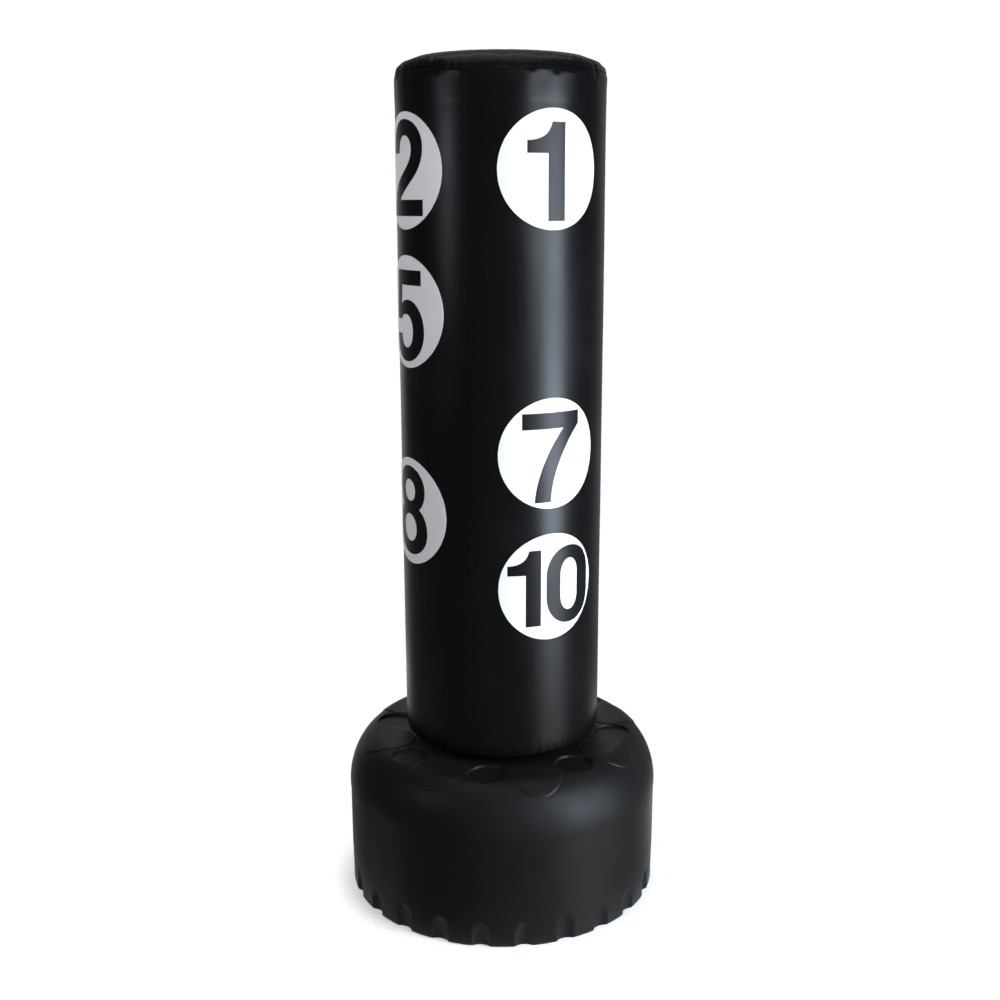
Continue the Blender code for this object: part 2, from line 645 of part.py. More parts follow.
def main() -> None:
    """Builds the whole bag."""
    clear_scene()
    base_plastic = material("base_plastic", (0.012, 0.012, 0.013), 0.32)
    core_plastic = material("core_plastic", (0.03, 0.03, 0.03), 0.5)
    pipe_plastic = material("pipe_plastic", (0.25, 0.26, 0.27), 0.5)
    rubber = material("seal_rubber", (0.02, 0.02, 0.02), 0.8)
    wood = material("birch_ply", (0.55, 0.39, 0.22), 0.6)
    steel = material("zinc_steel", (0.6, 0.6, 0.62), 0.3, 1.0)
    dense = material("dense_foam", (0.09, 0.09, 0.1), 0.9)
    soft = material("soft_foam", (0.32, 0.33, 0.35), 0.95)
    vinyl = material("black_vinyl", (0.01, 0.01, 0.011), 0.34)
    cord = material("nylon_cord", (0.05, 0.05, 0.05), 0.7)
    white = material("white_vinyl", (0.82, 0.83, 0.86), 0.35)

    build_base(base_plastic)
    build_fill_cap(core_plastic, rubber)
    build_core(core_plastic, pipe_plastic, rubber, wood, steel)
    build_foam(dense, soft)
    build_cover(vinyl, cord)
    for name, (column, steps) in DISCS.items():
        build_disc(name, column, steps, white)
    bpy.context.view_layer.update()


if __name__ == "__main__":
    main()
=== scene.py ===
"""The looks of a free-standing punching bag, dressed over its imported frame.

Metres, +Z up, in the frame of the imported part: the origin is the centre of the base's resting face and -Y is
the front. Every class below makes one sub-assembly and lays it where the frame's nodes are.
"""

import logging
import math
import random
from dataclasses import dataclass
from enum import Enum
from typing import Iterable, Sequence

import bmesh
import bpy
from mathutils import Matrix, Vector, noise
from mathutils.kdtree import KDTree


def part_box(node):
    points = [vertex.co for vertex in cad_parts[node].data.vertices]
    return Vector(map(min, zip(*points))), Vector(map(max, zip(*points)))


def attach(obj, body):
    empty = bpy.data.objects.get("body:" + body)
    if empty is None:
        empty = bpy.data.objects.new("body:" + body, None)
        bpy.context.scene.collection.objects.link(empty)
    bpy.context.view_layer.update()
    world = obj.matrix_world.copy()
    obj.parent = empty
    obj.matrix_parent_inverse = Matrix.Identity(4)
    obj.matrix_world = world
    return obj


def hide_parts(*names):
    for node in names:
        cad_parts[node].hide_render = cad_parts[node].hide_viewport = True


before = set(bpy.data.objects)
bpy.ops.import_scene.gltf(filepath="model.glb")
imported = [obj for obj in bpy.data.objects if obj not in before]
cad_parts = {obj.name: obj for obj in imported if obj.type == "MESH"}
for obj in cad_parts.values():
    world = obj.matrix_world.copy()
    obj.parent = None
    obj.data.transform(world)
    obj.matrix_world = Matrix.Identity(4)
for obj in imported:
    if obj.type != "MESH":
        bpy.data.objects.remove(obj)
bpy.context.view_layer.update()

LOG = logging.getLogger("punching_bag")
Point = tuple[float, float]
Line = list[Point]
Colour = tuple[float, float, float]
BMesh = bmesh.types.BMesh
Piece = bpy.types.Object
Material = bpy.types.Material
Socket = bpy.types.NodeSocket
Outline = list[Vector]

CLEARANCE = 0.0003
DOUBLES = 1e-6
WHOLE_TURN = 2 * math.pi
SMOOTH_ANGLE = 38
THREAD_CREST = 0.12
THREAD_FLANK = 0.16


class Body(Enum):
    """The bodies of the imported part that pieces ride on."""

    BASE = "base"
    NECK_RING = "neck_ring"
    BAG = "bag"
    FILL_RING = "fill_ring"
    CAP = "cap"


def ease(share: float) -> float:
    """Returns a smooth step from 0 to 1 as the share goes from 0 to 1."""
    share = min(max(share, 0.0), 1.0)
    return share * share * (3 - 2 * share)


def bell(offset: float) -> float:
    """Returns a bell curve that is 1 at no offset and about 0.02 two units away."""
    return math.exp(-offset * offset)


def polar(radius: float, angle: float) -> Point:
    """Returns x and y at a radius and angle, measured from the front (-Y) towards +X."""
    return radius * math.sin(angle), -radius * math.cos(angle)


def angle_of(point: Vector) -> float:
    """Returns the angle of a point round the axis, measured as polar does."""
    return math.atan2(point.x, -point.y)


def between(angle: float, other: float) -> float:
    """Returns the signed turn from one angle to another, within half a turn."""
    return (angle - other + math.pi) % WHOLE_TURN - math.pi


def everything(mesh: BMesh) -> list:
    """Returns all vertices, edges and faces of a mesh."""
    return mesh.verts[:] + mesh.edges[:] + mesh.faces[:]


def arc(centre: Point, radius: float, start: float, end: float, steps: int) -> Line:
    """Returns the points of an arc between two angles, given in degrees from the first axis."""
    turns = [math.radians(start + (end - start) * i / steps) for i in range(steps + 1)]
    return [(centre[0] + radius * math.cos(t), centre[1] + radius * math.sin(t)) for t in turns]


def soft_corner(side: Point, size: Point, power: float, part: Point = (0, 1), steps: int = 40) -> Line:
    """Makes a superellipse corner or part of it.

    Args:
        side: Where the corner leaves the upright side, at share 0.
        size: Its width and height.
        power: 2 for an ellipse, more for a fuller corner.
        part: The shares of the corner between which the points lie.
        steps: The number of runs.

    Returns:
        Its (r, z) points.
    """
    points = []
    for i in range(steps + 1):
        t = 0.5 * math.pi * (part[0] + (part[1] - part[0]) * i / steps)
        out = max(math.cos(t), 0.0) ** (2 / power)
        up = max(math.sin(t), 0.0) ** (2 / power)
        points.append((side[0] - size[0] * (1 - out), side[1] + size[1] * up))
    return points


def walked(line: Line, spacing: float) -> Line:
    """Adds points to a line.

    Args:
        line: The line.
        spacing: The longest run that stays whole.

    Returns:
        The line with its longer runs cut into even ones.
    """
    points = [line[0]]
    for (r0, z0), (r1, z1) in zip(line, line[1:]):
        runs = max(1, math.ceil(math.hypot(r1 - r0, z1 - z0) / spacing))
        points += [(r0 + (r1 - r0) * i / runs, z0 + (z1 - z0) * i / runs) for i in range(1, runs + 1)]
    return points


def filleted(line: Line, radius: float, steps: int = 3) -> Line:
    """Rounds off the inner corners of an open line.

    Args:
        line: The line.
        radius: How far from its corner each round starts, where the runs are long enough.
        steps: The runs of each round.

    Returns:
        The rounded line.
    """
    points = [line[0]]
    for before, corner, after in zip(line, line[1:], line[2:]):
        here = Vector(corner)
        back = Vector(before) - here
        ahead = Vector(after) - here
        start = here + back.normalized() * min(radius, back.length / 2)
        end = here + ahead.normalized() * min(radius, ahead.length / 2)
        for i in range(steps + 1):
            t = i / steps
            blend = start * (1 - t) ** 2 + here * 2 * t * (1 - t) + end * t**2
            points.append((blend.x, blend.y))
    return points + [line[-1]]


def inset_line(line: Line, distance: float) -> Line:
    """Moves an open line sideways.

    Args:
        line: The line.
        distance: How far it moves to its own right.

    Returns:
        The moved line, which doesn't cross the axis.
    """
    moved = []
    for i, (r, z) in enumerate(line):
        before = Vector(line[max(i - 1, 0)])
        after = Vector(line[min(i + 1, len(line) - 1)])
        run = (after - before).normalized()
        moved.append((max(r + run.y * distance, 0.0), z - run.x * distance))
    return moved


def spun_sector(profile: Line, segments: int, sectors: int, solid: bool = True) -> BMesh:
    """Spins an (r, z) outline through one of several equal sectors round Z, which starts at the back.

    Args:
        profile: The outline.
        segments: The facets of a whole turn.
        sectors: How many such sectors a turn has.
        solid: Whether an outline that doesn't end on the axis is closed first.

    Returns:
        The sector, open at its two sides where there is more than one.
    """
    mesh = bmesh.new()
    verts = [mesh.verts.new((0, r, z)) for r, z in profile]
    pairs = list(zip(verts, verts[1:]))
    if solid and (profile[0][0] > DOUBLES or profile[-1][0] > DOUBLES):
        pairs.append((verts[-1], verts[0]))
    edges = [mesh.edges.new(pair) for pair in pairs]
    bmesh.ops.spin(
        mesh, geom=verts + edges, axis=(0, 0, 1), cent=(0, 0, 0), angle=WHOLE_TURN / sectors,
        steps=segments // sectors, use_merge=sectors == 1
    )
    bmesh.ops.remove_doubles(mesh, verts=mesh.verts, dist=DOUBLES)
    return mesh


def repeated(mesh: BMesh, sectors: int) -> BMesh:
    """Repeats a sector all the way round Z.

    Args:
        mesh: The sector, to which its copies are added.
        sectors: How many sectors a turn has.

    Returns:
        The same mesh, merged at its seams, with its faces turned outwards.
    """
    sector = everything(mesh)
    for i in range(1, sectors):
        copies = bmesh.ops.duplicate(mesh, geom=sector)["geom"]
        verts = [item for item in copies if isinstance(item, bmesh.types.BMVert)]
        turn = Matrix.Rotation(WHOLE_TURN * i / sectors, 3, "Z")
        bmesh.ops.rotate(mesh, verts=verts, cent=(0, 0, 0), matrix=turn)
    bmesh.ops.remove_doubles(mesh, verts=mesh.verts, dist=DOUBLES)
    bmesh.ops.recalc_face_normals(mesh, faces=mesh.faces)
    mesh.normal_update()
    return mesh


def spun(profile: Line, segments: int, sectors: int = 8, solid: bool = True) -> BMesh:
    """Spins an (r, z) outline round Z, one sector at a time."""
    return repeated(spun_sector(profile, segments, sectors, solid), sectors)


def press_thread(mesh: BMesh, radius: float, pitch: float, depth: float, ends: Sequence[Point] = ()) -> None:
    """Cuts a right-hand thread into a wall round Z.

    Args:
        mesh: The turned piece.
        radius: The wall's radius.
        pitch: The rise of a turn.
        depth: The groove's depth, below 0 for a groove that goes away from the axis.
        ends: The heights where the thread runs out and the height that each takes, below 0 at an upper end.
    """
    for vert in mesh.verts:
        here = vert.co.xy.length
        if abs(here - radius) > CLEARANCE:
            continue
        turn = (vert.co.z / pitch - angle_of(vert.co) / WHOLE_TURN) % 1.0
        groove = ease((abs(turn - 0.5) - THREAD_CREST) / THREAD_FLANK)
        if depth < 0:
            groove = 1 - groove
        for height, run in ends:
            groove *= ease((vert.co.z - height) / run)
        vert.co.xy *= (here - depth * groove) / here


def new_object(name: str, mesh: BMesh, finish: Material | None = None, smooth: float = SMOOTH_ANGLE) -> Piece:
    """Turns a mesh into a linked object.

    Args:
        name: The object's name.
        mesh: Its mesh, which is used up.
        finish: Its material.
        smooth: The angle in degrees from which an edge stays sharp.

    Returns:
        The object.
    """
    data = bpy.data.meshes.new(name)
    mesh.to_mesh(data)
    mesh.free()
    if finish is not None:
        data.materials.append(finish)
    data.shade_smooth()
    data.set_sharp_from_angle(angle=math.radians(smooth))
    made = bpy.data.objects.new(name, data)
    bpy.context.scene.collection.objects.link(made)
    return made


def with_modifiers_applied(piece: Piece) -> Piece:
    """Bakes a piece's modifiers into its mesh.

    Args:
        piece: The piece.

    Returns:
        The same piece.
    """
    graph = bpy.context.evaluated_depsgraph_get()
    baked = bpy.data.meshes.new_from_object(piece.evaluated_get(graph))
    piece.modifiers.clear()
    piece.data = baked
    return piece


def cut(piece: Piece, cutter: BMesh) -> None:
    """Takes a closed cutter away from a piece.

    Args:
        piece: What is cut.
        cutter: The cutter, which is used up.
    """
    tool = new_object("cutter", cutter)
    modifier = piece.modifiers.new("cut", "BOOLEAN")
    modifier.operation = "DIFFERENCE"
    modifier.solver = "EXACT"
    modifier.object = tool
    with_modifiers_applied(piece)
    bpy.data.objects.remove(tool, do_unlink=True)


def mounted(piece: Piece, body: Body, stands_for: Iterable[str] = ()) -> None:
    """Lets a piece ride on a body and reports it.

    Args:
        piece: The piece.
        body: What it rides on.
        stands_for: The nodes that it replaces.
    """
    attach(piece, body.value)
    names = list(stands_for)
    if names:
        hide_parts(*names)
    LOG.info("%s: %d faces on %s", piece.name, len(piece.data.polygons), body.value)


class Nodes:
    """A node tree, with short calls for the nodes that the finishes and the world share."""

    def __init__(self, tree: bpy.types.NodeTree) -> None:
        """Takes the tree to which nodes are added."""
        self.tree = tree

    def node(self, kind: str, settings: dict[str, str] | None = None, **inputs: object) -> bpy.types.Node:
        """Adds a node.

        Args:
            kind: Its type, without the words that all types start with.
            settings: Its own options.
            inputs: A value or a socket for each of its inputs, with _ for a space in the input's name.

        Returns:
            The node.
        """
        made = self.tree.nodes.new("ShaderNode" + kind)
        for name, option in (settings or {}).items():
            setattr(made, name, option)
        for name, value in inputs.items():
            target = made.inputs[name.replace("_", " ")]
            if isinstance(value, Socket):
                self.tree.links.new(value, target)
            else:
                target.default_value = value
        return made

    def ranged(self, value: Socket, start: Point, end: Point = (0, 1)) -> Socket:
        """Moves a value smoothly from one range to another.

        Args:
            value: The value.
            start: The range that it comes from.
            end: The range that it is moved to.

        Returns:
            The moved value.
        """
        limits = {"From_Min": start[0], "From_Max": start[1], "To_Min": end[0], "To_Max": end[1]}
        made = self.node("MapRange", {"interpolation_type": "SMOOTHSTEP"}, Value=value, **limits)
        return made.outputs["Result"]

    def mixed(self, factor: Socket, low: Colour | Socket, high: Colour) -> Socket:
        """Mixes two colours.

        Args:
            factor: The share of the second one.
            low: The first colour, which may come from another mix.
            high: The second colour.

        Returns:
            The mix.
        """
        first = low if isinstance(low, Socket) else (*low, 1.0)
        made = self.node("Mix", {"data_type": "RGBA"}, Factor=factor, A=first, B=(*high, 1.0))
        return made.outputs["Result"]


class NodeSheet(Nodes):
    """The node tree of one material, in metres of the object."""

    MIDDLE = (0.3, 0.7)

    def __init__(self, name: str, colour: Colour, roughness: float, metallic: float = 0.0) -> None:
        """Starts a Principled material.

        Args:
            name: The material's name.
            colour: Its one colour, to which detail is added.
            roughness: Its roughness, before a pattern varies it.
            metallic: 1 for bare metal.
        """
        self.material = bpy.data.materials.new(name)
        self.material.use_nodes = True
        self.material.diffuse_color = (*colour, 1.0)
        super().__init__(self.material.node_tree)
        self.shader = self.tree.nodes["Principled BSDF"]
        self.shader.inputs["Base Color"].default_value = (*colour, 1.0)
        self.shader.inputs["Roughness"].default_value = roughness
        self.shader.inputs["Metallic"].default_value = metallic
        self.place = self.node("TexCoord").outputs["Object"]

    def stretched(self, scale: Sequence[float], turn: float = 0.0) -> Socket:
        """Returns the object's coordinates, turned about Z and stretched."""
        return self.node("Mapping", Vector=self.place, Scale=scale, Rotation=(0, 0, turn)).outputs["Vector"]

    def noise(self, scale: float, detail: int = 3, rough: float = 0.5, place: Socket | None = None) -> Socket:
        """Makes a noise pattern.

        Args:
            scale: Its features to the metre.
            detail: The number of its finer layers.
            rough: How strong these are.
            place: Stretched coordinates.

        Returns:
            The pattern.
        """
        where = place or self.place
        return self.node("TexNoise", Vector=where, Scale=scale, Detail=detail, Roughness=rough).outputs["Fac"]

    def cells(self, scale: float, edges: bool = False) -> Socket:
        """Makes a pattern of cells.

        Args:
            scale: The cells to the metre.
            edges: Whether distances are taken from the edge between cells, not from a cell's centre.

        Returns:
            The distances.
        """
        feature = "DISTANCE_TO_EDGE" if edges else "F1"
        made = self.node("TexVoronoi", {"feature": feature}, Vector=self.place, Scale=scale)
        return made.outputs["Distance"]

    def waves(self, scale: float, direction: str) -> Socket:
        """Returns bands of this scale across one of the object's axes."""
        made = self.node("TexWave", {"bands_direction": direction}, Vector=self.place, Scale=scale)
        return made.outputs["Fac"]

    def added(self, first: Socket, second: Socket) -> Socket:
        """Adds two values.

        Args:
            first: The one.
            second: The other.

        Returns:
            Their sum.
        """
        total = self.node("Math", {"operation": "ADD"})
        self.tree.links.new(first, total.inputs[0])
        self.tree.links.new(second, total.inputs[1])
        return total.outputs["Value"]

    def tint(
        self, pattern: Socket, reach: Point, low: Colour | Socket, high: Colour, most: float = 1.0
    ) -> Socket:
        """Lets a pattern mix two colours and sets them as the base.

        Args:
            pattern: The pattern.
            reach: The values of it between which the colour changes.
            low: The colour before the reach, which may come from another mix.
            high: The colour past it.
            most: The largest share of that one.

        Returns:
            The mix.
        """
        mix = self.mixed(self.ranged(pattern, reach, (0, most)), low, high)
        self.tree.links.new(mix, self.shader.inputs["Base Color"])
        return mix

    def roughen(self, pattern: Socket, low: float, high: float) -> None:
        """Lets a pattern vary the roughness between two values."""
        self.tree.links.new(self.ranged(pattern, self.MIDDLE, (low, high)), self.shader.inputs["Roughness"])

    def bump(self, height: Socket, distance: float, strength: float, under: Socket | None = None) -> Socket:
        """Adds relief.

        Args:
            height: Its pattern.
            distance: Its height in metres.
            strength: The share of it that shows.
            under: Other relief that it lies on.

        Returns:
            The relief.
        """
        base = {"Normal": under} if under else {}
        made = self.node("Bump", Height=height, Distance=distance, Strength=strength, **base)
        relief = made.outputs["Normal"]
        self.tree.links.new(relief, self.shader.inputs["Normal"])
        return relief


@dataclass(frozen=True)
class Vinyl:
    """Coated fabric with a fine leather grain, slack at large and rubbed here and there."""

    name: str
    colour: Colour
    rubbed: Colour
    roughness: float
    specular: float
    grain: float = 900.0
    grain_height: float = 0.00004
    slack_height: float = 0.0012
    speck_share: float = 0.5
    glossier: float = 0.04
    duller: float = 0.05

    def made(self) -> Material:
        """Makes the finish.

        Returns:
            Its material.
        """
        sheet = NodeSheet(self.name, self.colour, self.roughness)
        sheet.shader.inputs["Specular IOR Level"].default_value = self.specular
        base = sheet.tint(sheet.noise(9, detail=5, rough=0.6), (0.5, 0.75), self.colour, self.rubbed)
        sheet.tint(sheet.noise(140, detail=2), (0.62, 0.8), base, self.rubbed, self.speck_share)
        patches = sheet.noise(5, detail=4, rough=0.55)
        sheet.roughen(patches, self.roughness - self.glossier, self.roughness + self.duller)
        folds = sheet.noise(7, detail=2, rough=0.4, place=sheet.stretched((1, 1, 0.35)))
        slack = sheet.bump(folds, self.slack_height, strength=0.5)
        sheet.bump(sheet.cells(self.grain, edges=True), self.grain_height, strength=0.6, under=slack)
        return sheet.material


@dataclass(frozen=True)
class MouldedPlastic:
    """Black or grey moulded plastic with a pebbled skin, flow marks and light scuffs."""

    name: str
    colour: Colour
    scuffed: Colour
    roughness: float
    specular: float
    pebble: float = 420.0
    pebble_height: float = 0.00006
    flow_height: float = 0.0008
    cloud_share: float = 0.5
    scuff_share: float = 0.7
    variation: float = 0.05

    def made(self) -> Material:
        """Makes the finish.

        Returns:
            Its material.
        """
        sheet = NodeSheet(self.name, self.colour, self.roughness)
        sheet.shader.inputs["Specular IOR Level"].default_value = self.specular
        clouds = sheet.noise(6, detail=4, rough=0.6)
        base = sheet.tint(clouds, (0.35, 0.75), self.colour, self.scuffed, self.cloud_share)
        scuffs = sheet.noise(45, rough=0.6, place=sheet.stretched((1, 6, 1), turn=0.6))
        sheet.tint(scuffs, (0.66, 0.74), base, self.scuffed, self.scuff_share)
        patches = sheet.noise(8, detail=4, rough=0.6)
        sheet.roughen(patches, self.roughness - self.variation, self.roughness + self.variation)
        flow = sheet.bump(sheet.noise(6, detail=2, rough=0.4), self.flow_height, strength=0.5)
        sheet.bump(sheet.noise(self.pebble, detail=2), self.pebble_height, strength=0.6, under=flow)
        return sheet.material


@dataclass(frozen=True)
class Rubber:
    """Matte black rubber with fine mould texture."""

    name: str = "seal_rubber_skin"
    colour: Colour = (0.02, 0.02, 0.02)
    dusty: Colour = (0.05, 0.05, 0.048)
    roughness: float = 0.8
    texture_height: float = 0.00005

    def made(self) -> Material:
        """Makes the finish.

        Returns:
            Its material.
        """
        sheet = NodeSheet(self.name, self.colour, self.roughness)
        sheet.tint(sheet.noise(60, detail=4, rough=0.6), (0.45, 0.8), self.colour, self.dusty)
        sheet.roughen(sheet.noise(90), 0.72, 0.88)
        sheet.bump(sheet.noise(1400, detail=2), self.texture_height, strength=0.5)
        return sheet.material


@dataclass(frozen=True)
class Plywood:
    """Birch plywood: faces with long grain, and thin dark glue lines through its thickness."""

    name: str = "birch_ply_veneer"
    pale: Colour = (0.58, 0.42, 0.25)
    dark: Colour = (0.4, 0.26, 0.14)
    roughness: float = 0.6
    veneer_scale: float = 330.0
    glue_share: float = 0.5
    grain_height: float = 0.0003

    def made(self) -> Material:
        """Makes the finish.

        Returns:
            Its material.
        """
        sheet = NodeSheet(self.name, self.pale, self.roughness)
        grain = sheet.noise(30, detail=6, rough=0.6, place=sheet.stretched((1, 9, 9)))
        base = sheet.tint(grain, (0.35, 0.7), self.pale, self.dark)
        sheet.tint(sheet.waves(self.veneer_scale, "Z"), (0.86, 0.98), base, self.dark, self.glue_share)
        sheet.roughen(grain, 0.55, 0.7)
        sheet.bump(grain, self.grain_height, strength=0.4)
        return sheet.material


@dataclass(frozen=True)
class ZincSteel:
    """Bright zinc plate with fine machining marks and dull patches."""

    name: str = "zinc_plate"
    colour: Colour = (0.6, 0.6, 0.62)
    dull: Colour = (0.42, 0.42, 0.4)
    roughness: float = 0.3
    mark_height: float = 0.00001

    def made(self) -> Material:
        """Makes the finish.

        Returns:
            Its material.
        """
        sheet = NodeSheet(self.name, self.colour, self.roughness, metallic=1.0)
        sheet.tint(sheet.noise(300, detail=4), (0.45, 0.75), self.colour, self.dull)
        sheet.roughen(sheet.noise(200, detail=4), 0.24, 0.42)
        sheet.bump(sheet.noise(2500, detail=2), self.mark_height, strength=0.5)
        return sheet.material


@dataclass(frozen=True)
class Foam:
    """Open-cell foam with its cut cells, painted darker in their pits as shade."""

    name: str
    colour: Colour
    # The colour painted into each cell's pit as shade.
    hollow_shade: Colour
    cells_per_metre: float = 700.0
    roughness: float = 0.95
    cell_depth: float = 0.0006

    def made(self) -> Material:
        """Makes the finish.

        Returns:
            Its material.
        """
        sheet = NodeSheet(self.name, self.colour, self.roughness)
        holes = sheet.cells(self.cells_per_metre)
        # Painted shade: the colour darkens towards each cell's centre, where the bump sinks its pit deepest.
        sheet.tint(holes, (0.1, 0.6), self.hollow_shade, self.colour)
        sheet.roughen(sheet.noise(50), 0.9, 1.0)
        sheet.bump(holes, self.cell_depth, strength=0.7)
        return sheet.material


@dataclass(frozen=True)
class BraidedCord:
    """Dark nylon cord with crossing strands, painted darker in the grooves between them as shade."""

    name: str = "nylon_braid"
    colour: Colour = (0.05, 0.05, 0.05)
    # The colour painted into the grooves between strands as shade.
    hollow_shade: Colour = (0.015, 0.015, 0.015)
    roughness: float = 0.7
    strand_scale: float = 320.0
    strand_height: float = 0.0004

    def made(self) -> Material:
        """Makes the finish.

        Returns:
            Its material.
        """
        sheet = NodeSheet(self.name, self.colour, self.roughness)
        strands = sheet.added(sheet.waves(self.strand_scale, "DIAGONAL"), sheet.waves(self.strand_scale, "Z"))
        # Painted shade: darker where both strand bands are low, in the grooves that the bump sinks.
        sheet.tint(strands, (0.4, 1.6), self.hollow_shade, self.colour)
        sheet.roughen(sheet.noise(400), 0.62, 0.8)
        sheet.bump(strands, self.strand_height, strength=0.6)
        return sheet.material


class Finishes:
    """The finishes of the whole bag, one material for each slot of the record."""

    def __init__(self) -> None:
        """Makes every material once."""
        base = MouldedPlastic(
            "base_plastic_skin", (0.0064, 0.0062, 0.006), (0.0105, 0.0102, 0.01), 0.46, 0.16
        )
        core = MouldedPlastic("core_plastic_skin", (0.03,) * 3, (0.06,) * 3, 0.5, 0.4, 900, 0.00003)
        pipe = MouldedPlastic("pipe_plastic_skin", (0.25, 0.26, 0.27), (0.36,) * 3, 0.5, 0.4, 900, 0.00002)
        black = Vinyl("black_vinyl_skin", (0.003, 0.003, 0.0032), (0.005, 0.005, 0.0054), 0.3, 0.2)
        white = Vinyl(
            "white_vinyl_print", (0.8, 0.8, 0.815), (0.75, 0.75, 0.765), 0.42, 0.4, slack_height=0.0004
        )
        ink = Vinyl("black_ink_film", (0.0035, 0.0035, 0.0038), (0.007, 0.007, 0.0075), 0.34, 0.21)
        # Each foam's second colour is the painted shade in its cells' pits.
        dense = Foam("dense_foam_cells", (0.09, 0.09, 0.1), (0.04, 0.04, 0.045))
        soft = Foam("soft_foam_cells", (0.32, 0.33, 0.35), (0.2, 0.2, 0.22), cells_per_metre=450)
        self.base_plastic = base.made()
        self.core_plastic = core.made()
        self.pipe_plastic = pipe.made()
        self.black_vinyl = black.made()
        self.white_vinyl = white.made()
        self.ink = ink.made()
        self.seal_rubber = Rubber().made()
        self.birch_ply = Plywood().made()
        self.zinc_steel = ZincSteel().made()
        self.dense_foam = dense.made()
        self.soft_foam = soft.made()
        self.nylon_cord = BraidedCord().made()


@dataclass(frozen=True)
class Layout:
    """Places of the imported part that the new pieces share."""

    base_radius: float
    neck_top: float
    socket_radius: float
    bag_radius: float
    bag_low: float
    crown_top: float

    @classmethod
    def from_frame(cls, gutter_depth: float = 0.006, socket_radius: float = 0.0805) -> "Layout":
        """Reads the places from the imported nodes.

        Args:
            gutter_depth: How far the cord's gutter hangs under the bag's lower edge.
            socket_radius: The radius of the base's socket.

        Returns:
            The shared places.
        """
        shell_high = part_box("base_shell")[1]
        sleeve_low, sleeve_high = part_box("cover_sleeve")
        return cls(
            base_radius=shell_high.x,
            neck_top=shell_high.z,
            socket_radius=socket_radius,
            bag_radius=sleeve_high.x,
            bag_low=sleeve_low.z + gutter_depth,
            crown_top=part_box("cover_top")[1].z,
        )


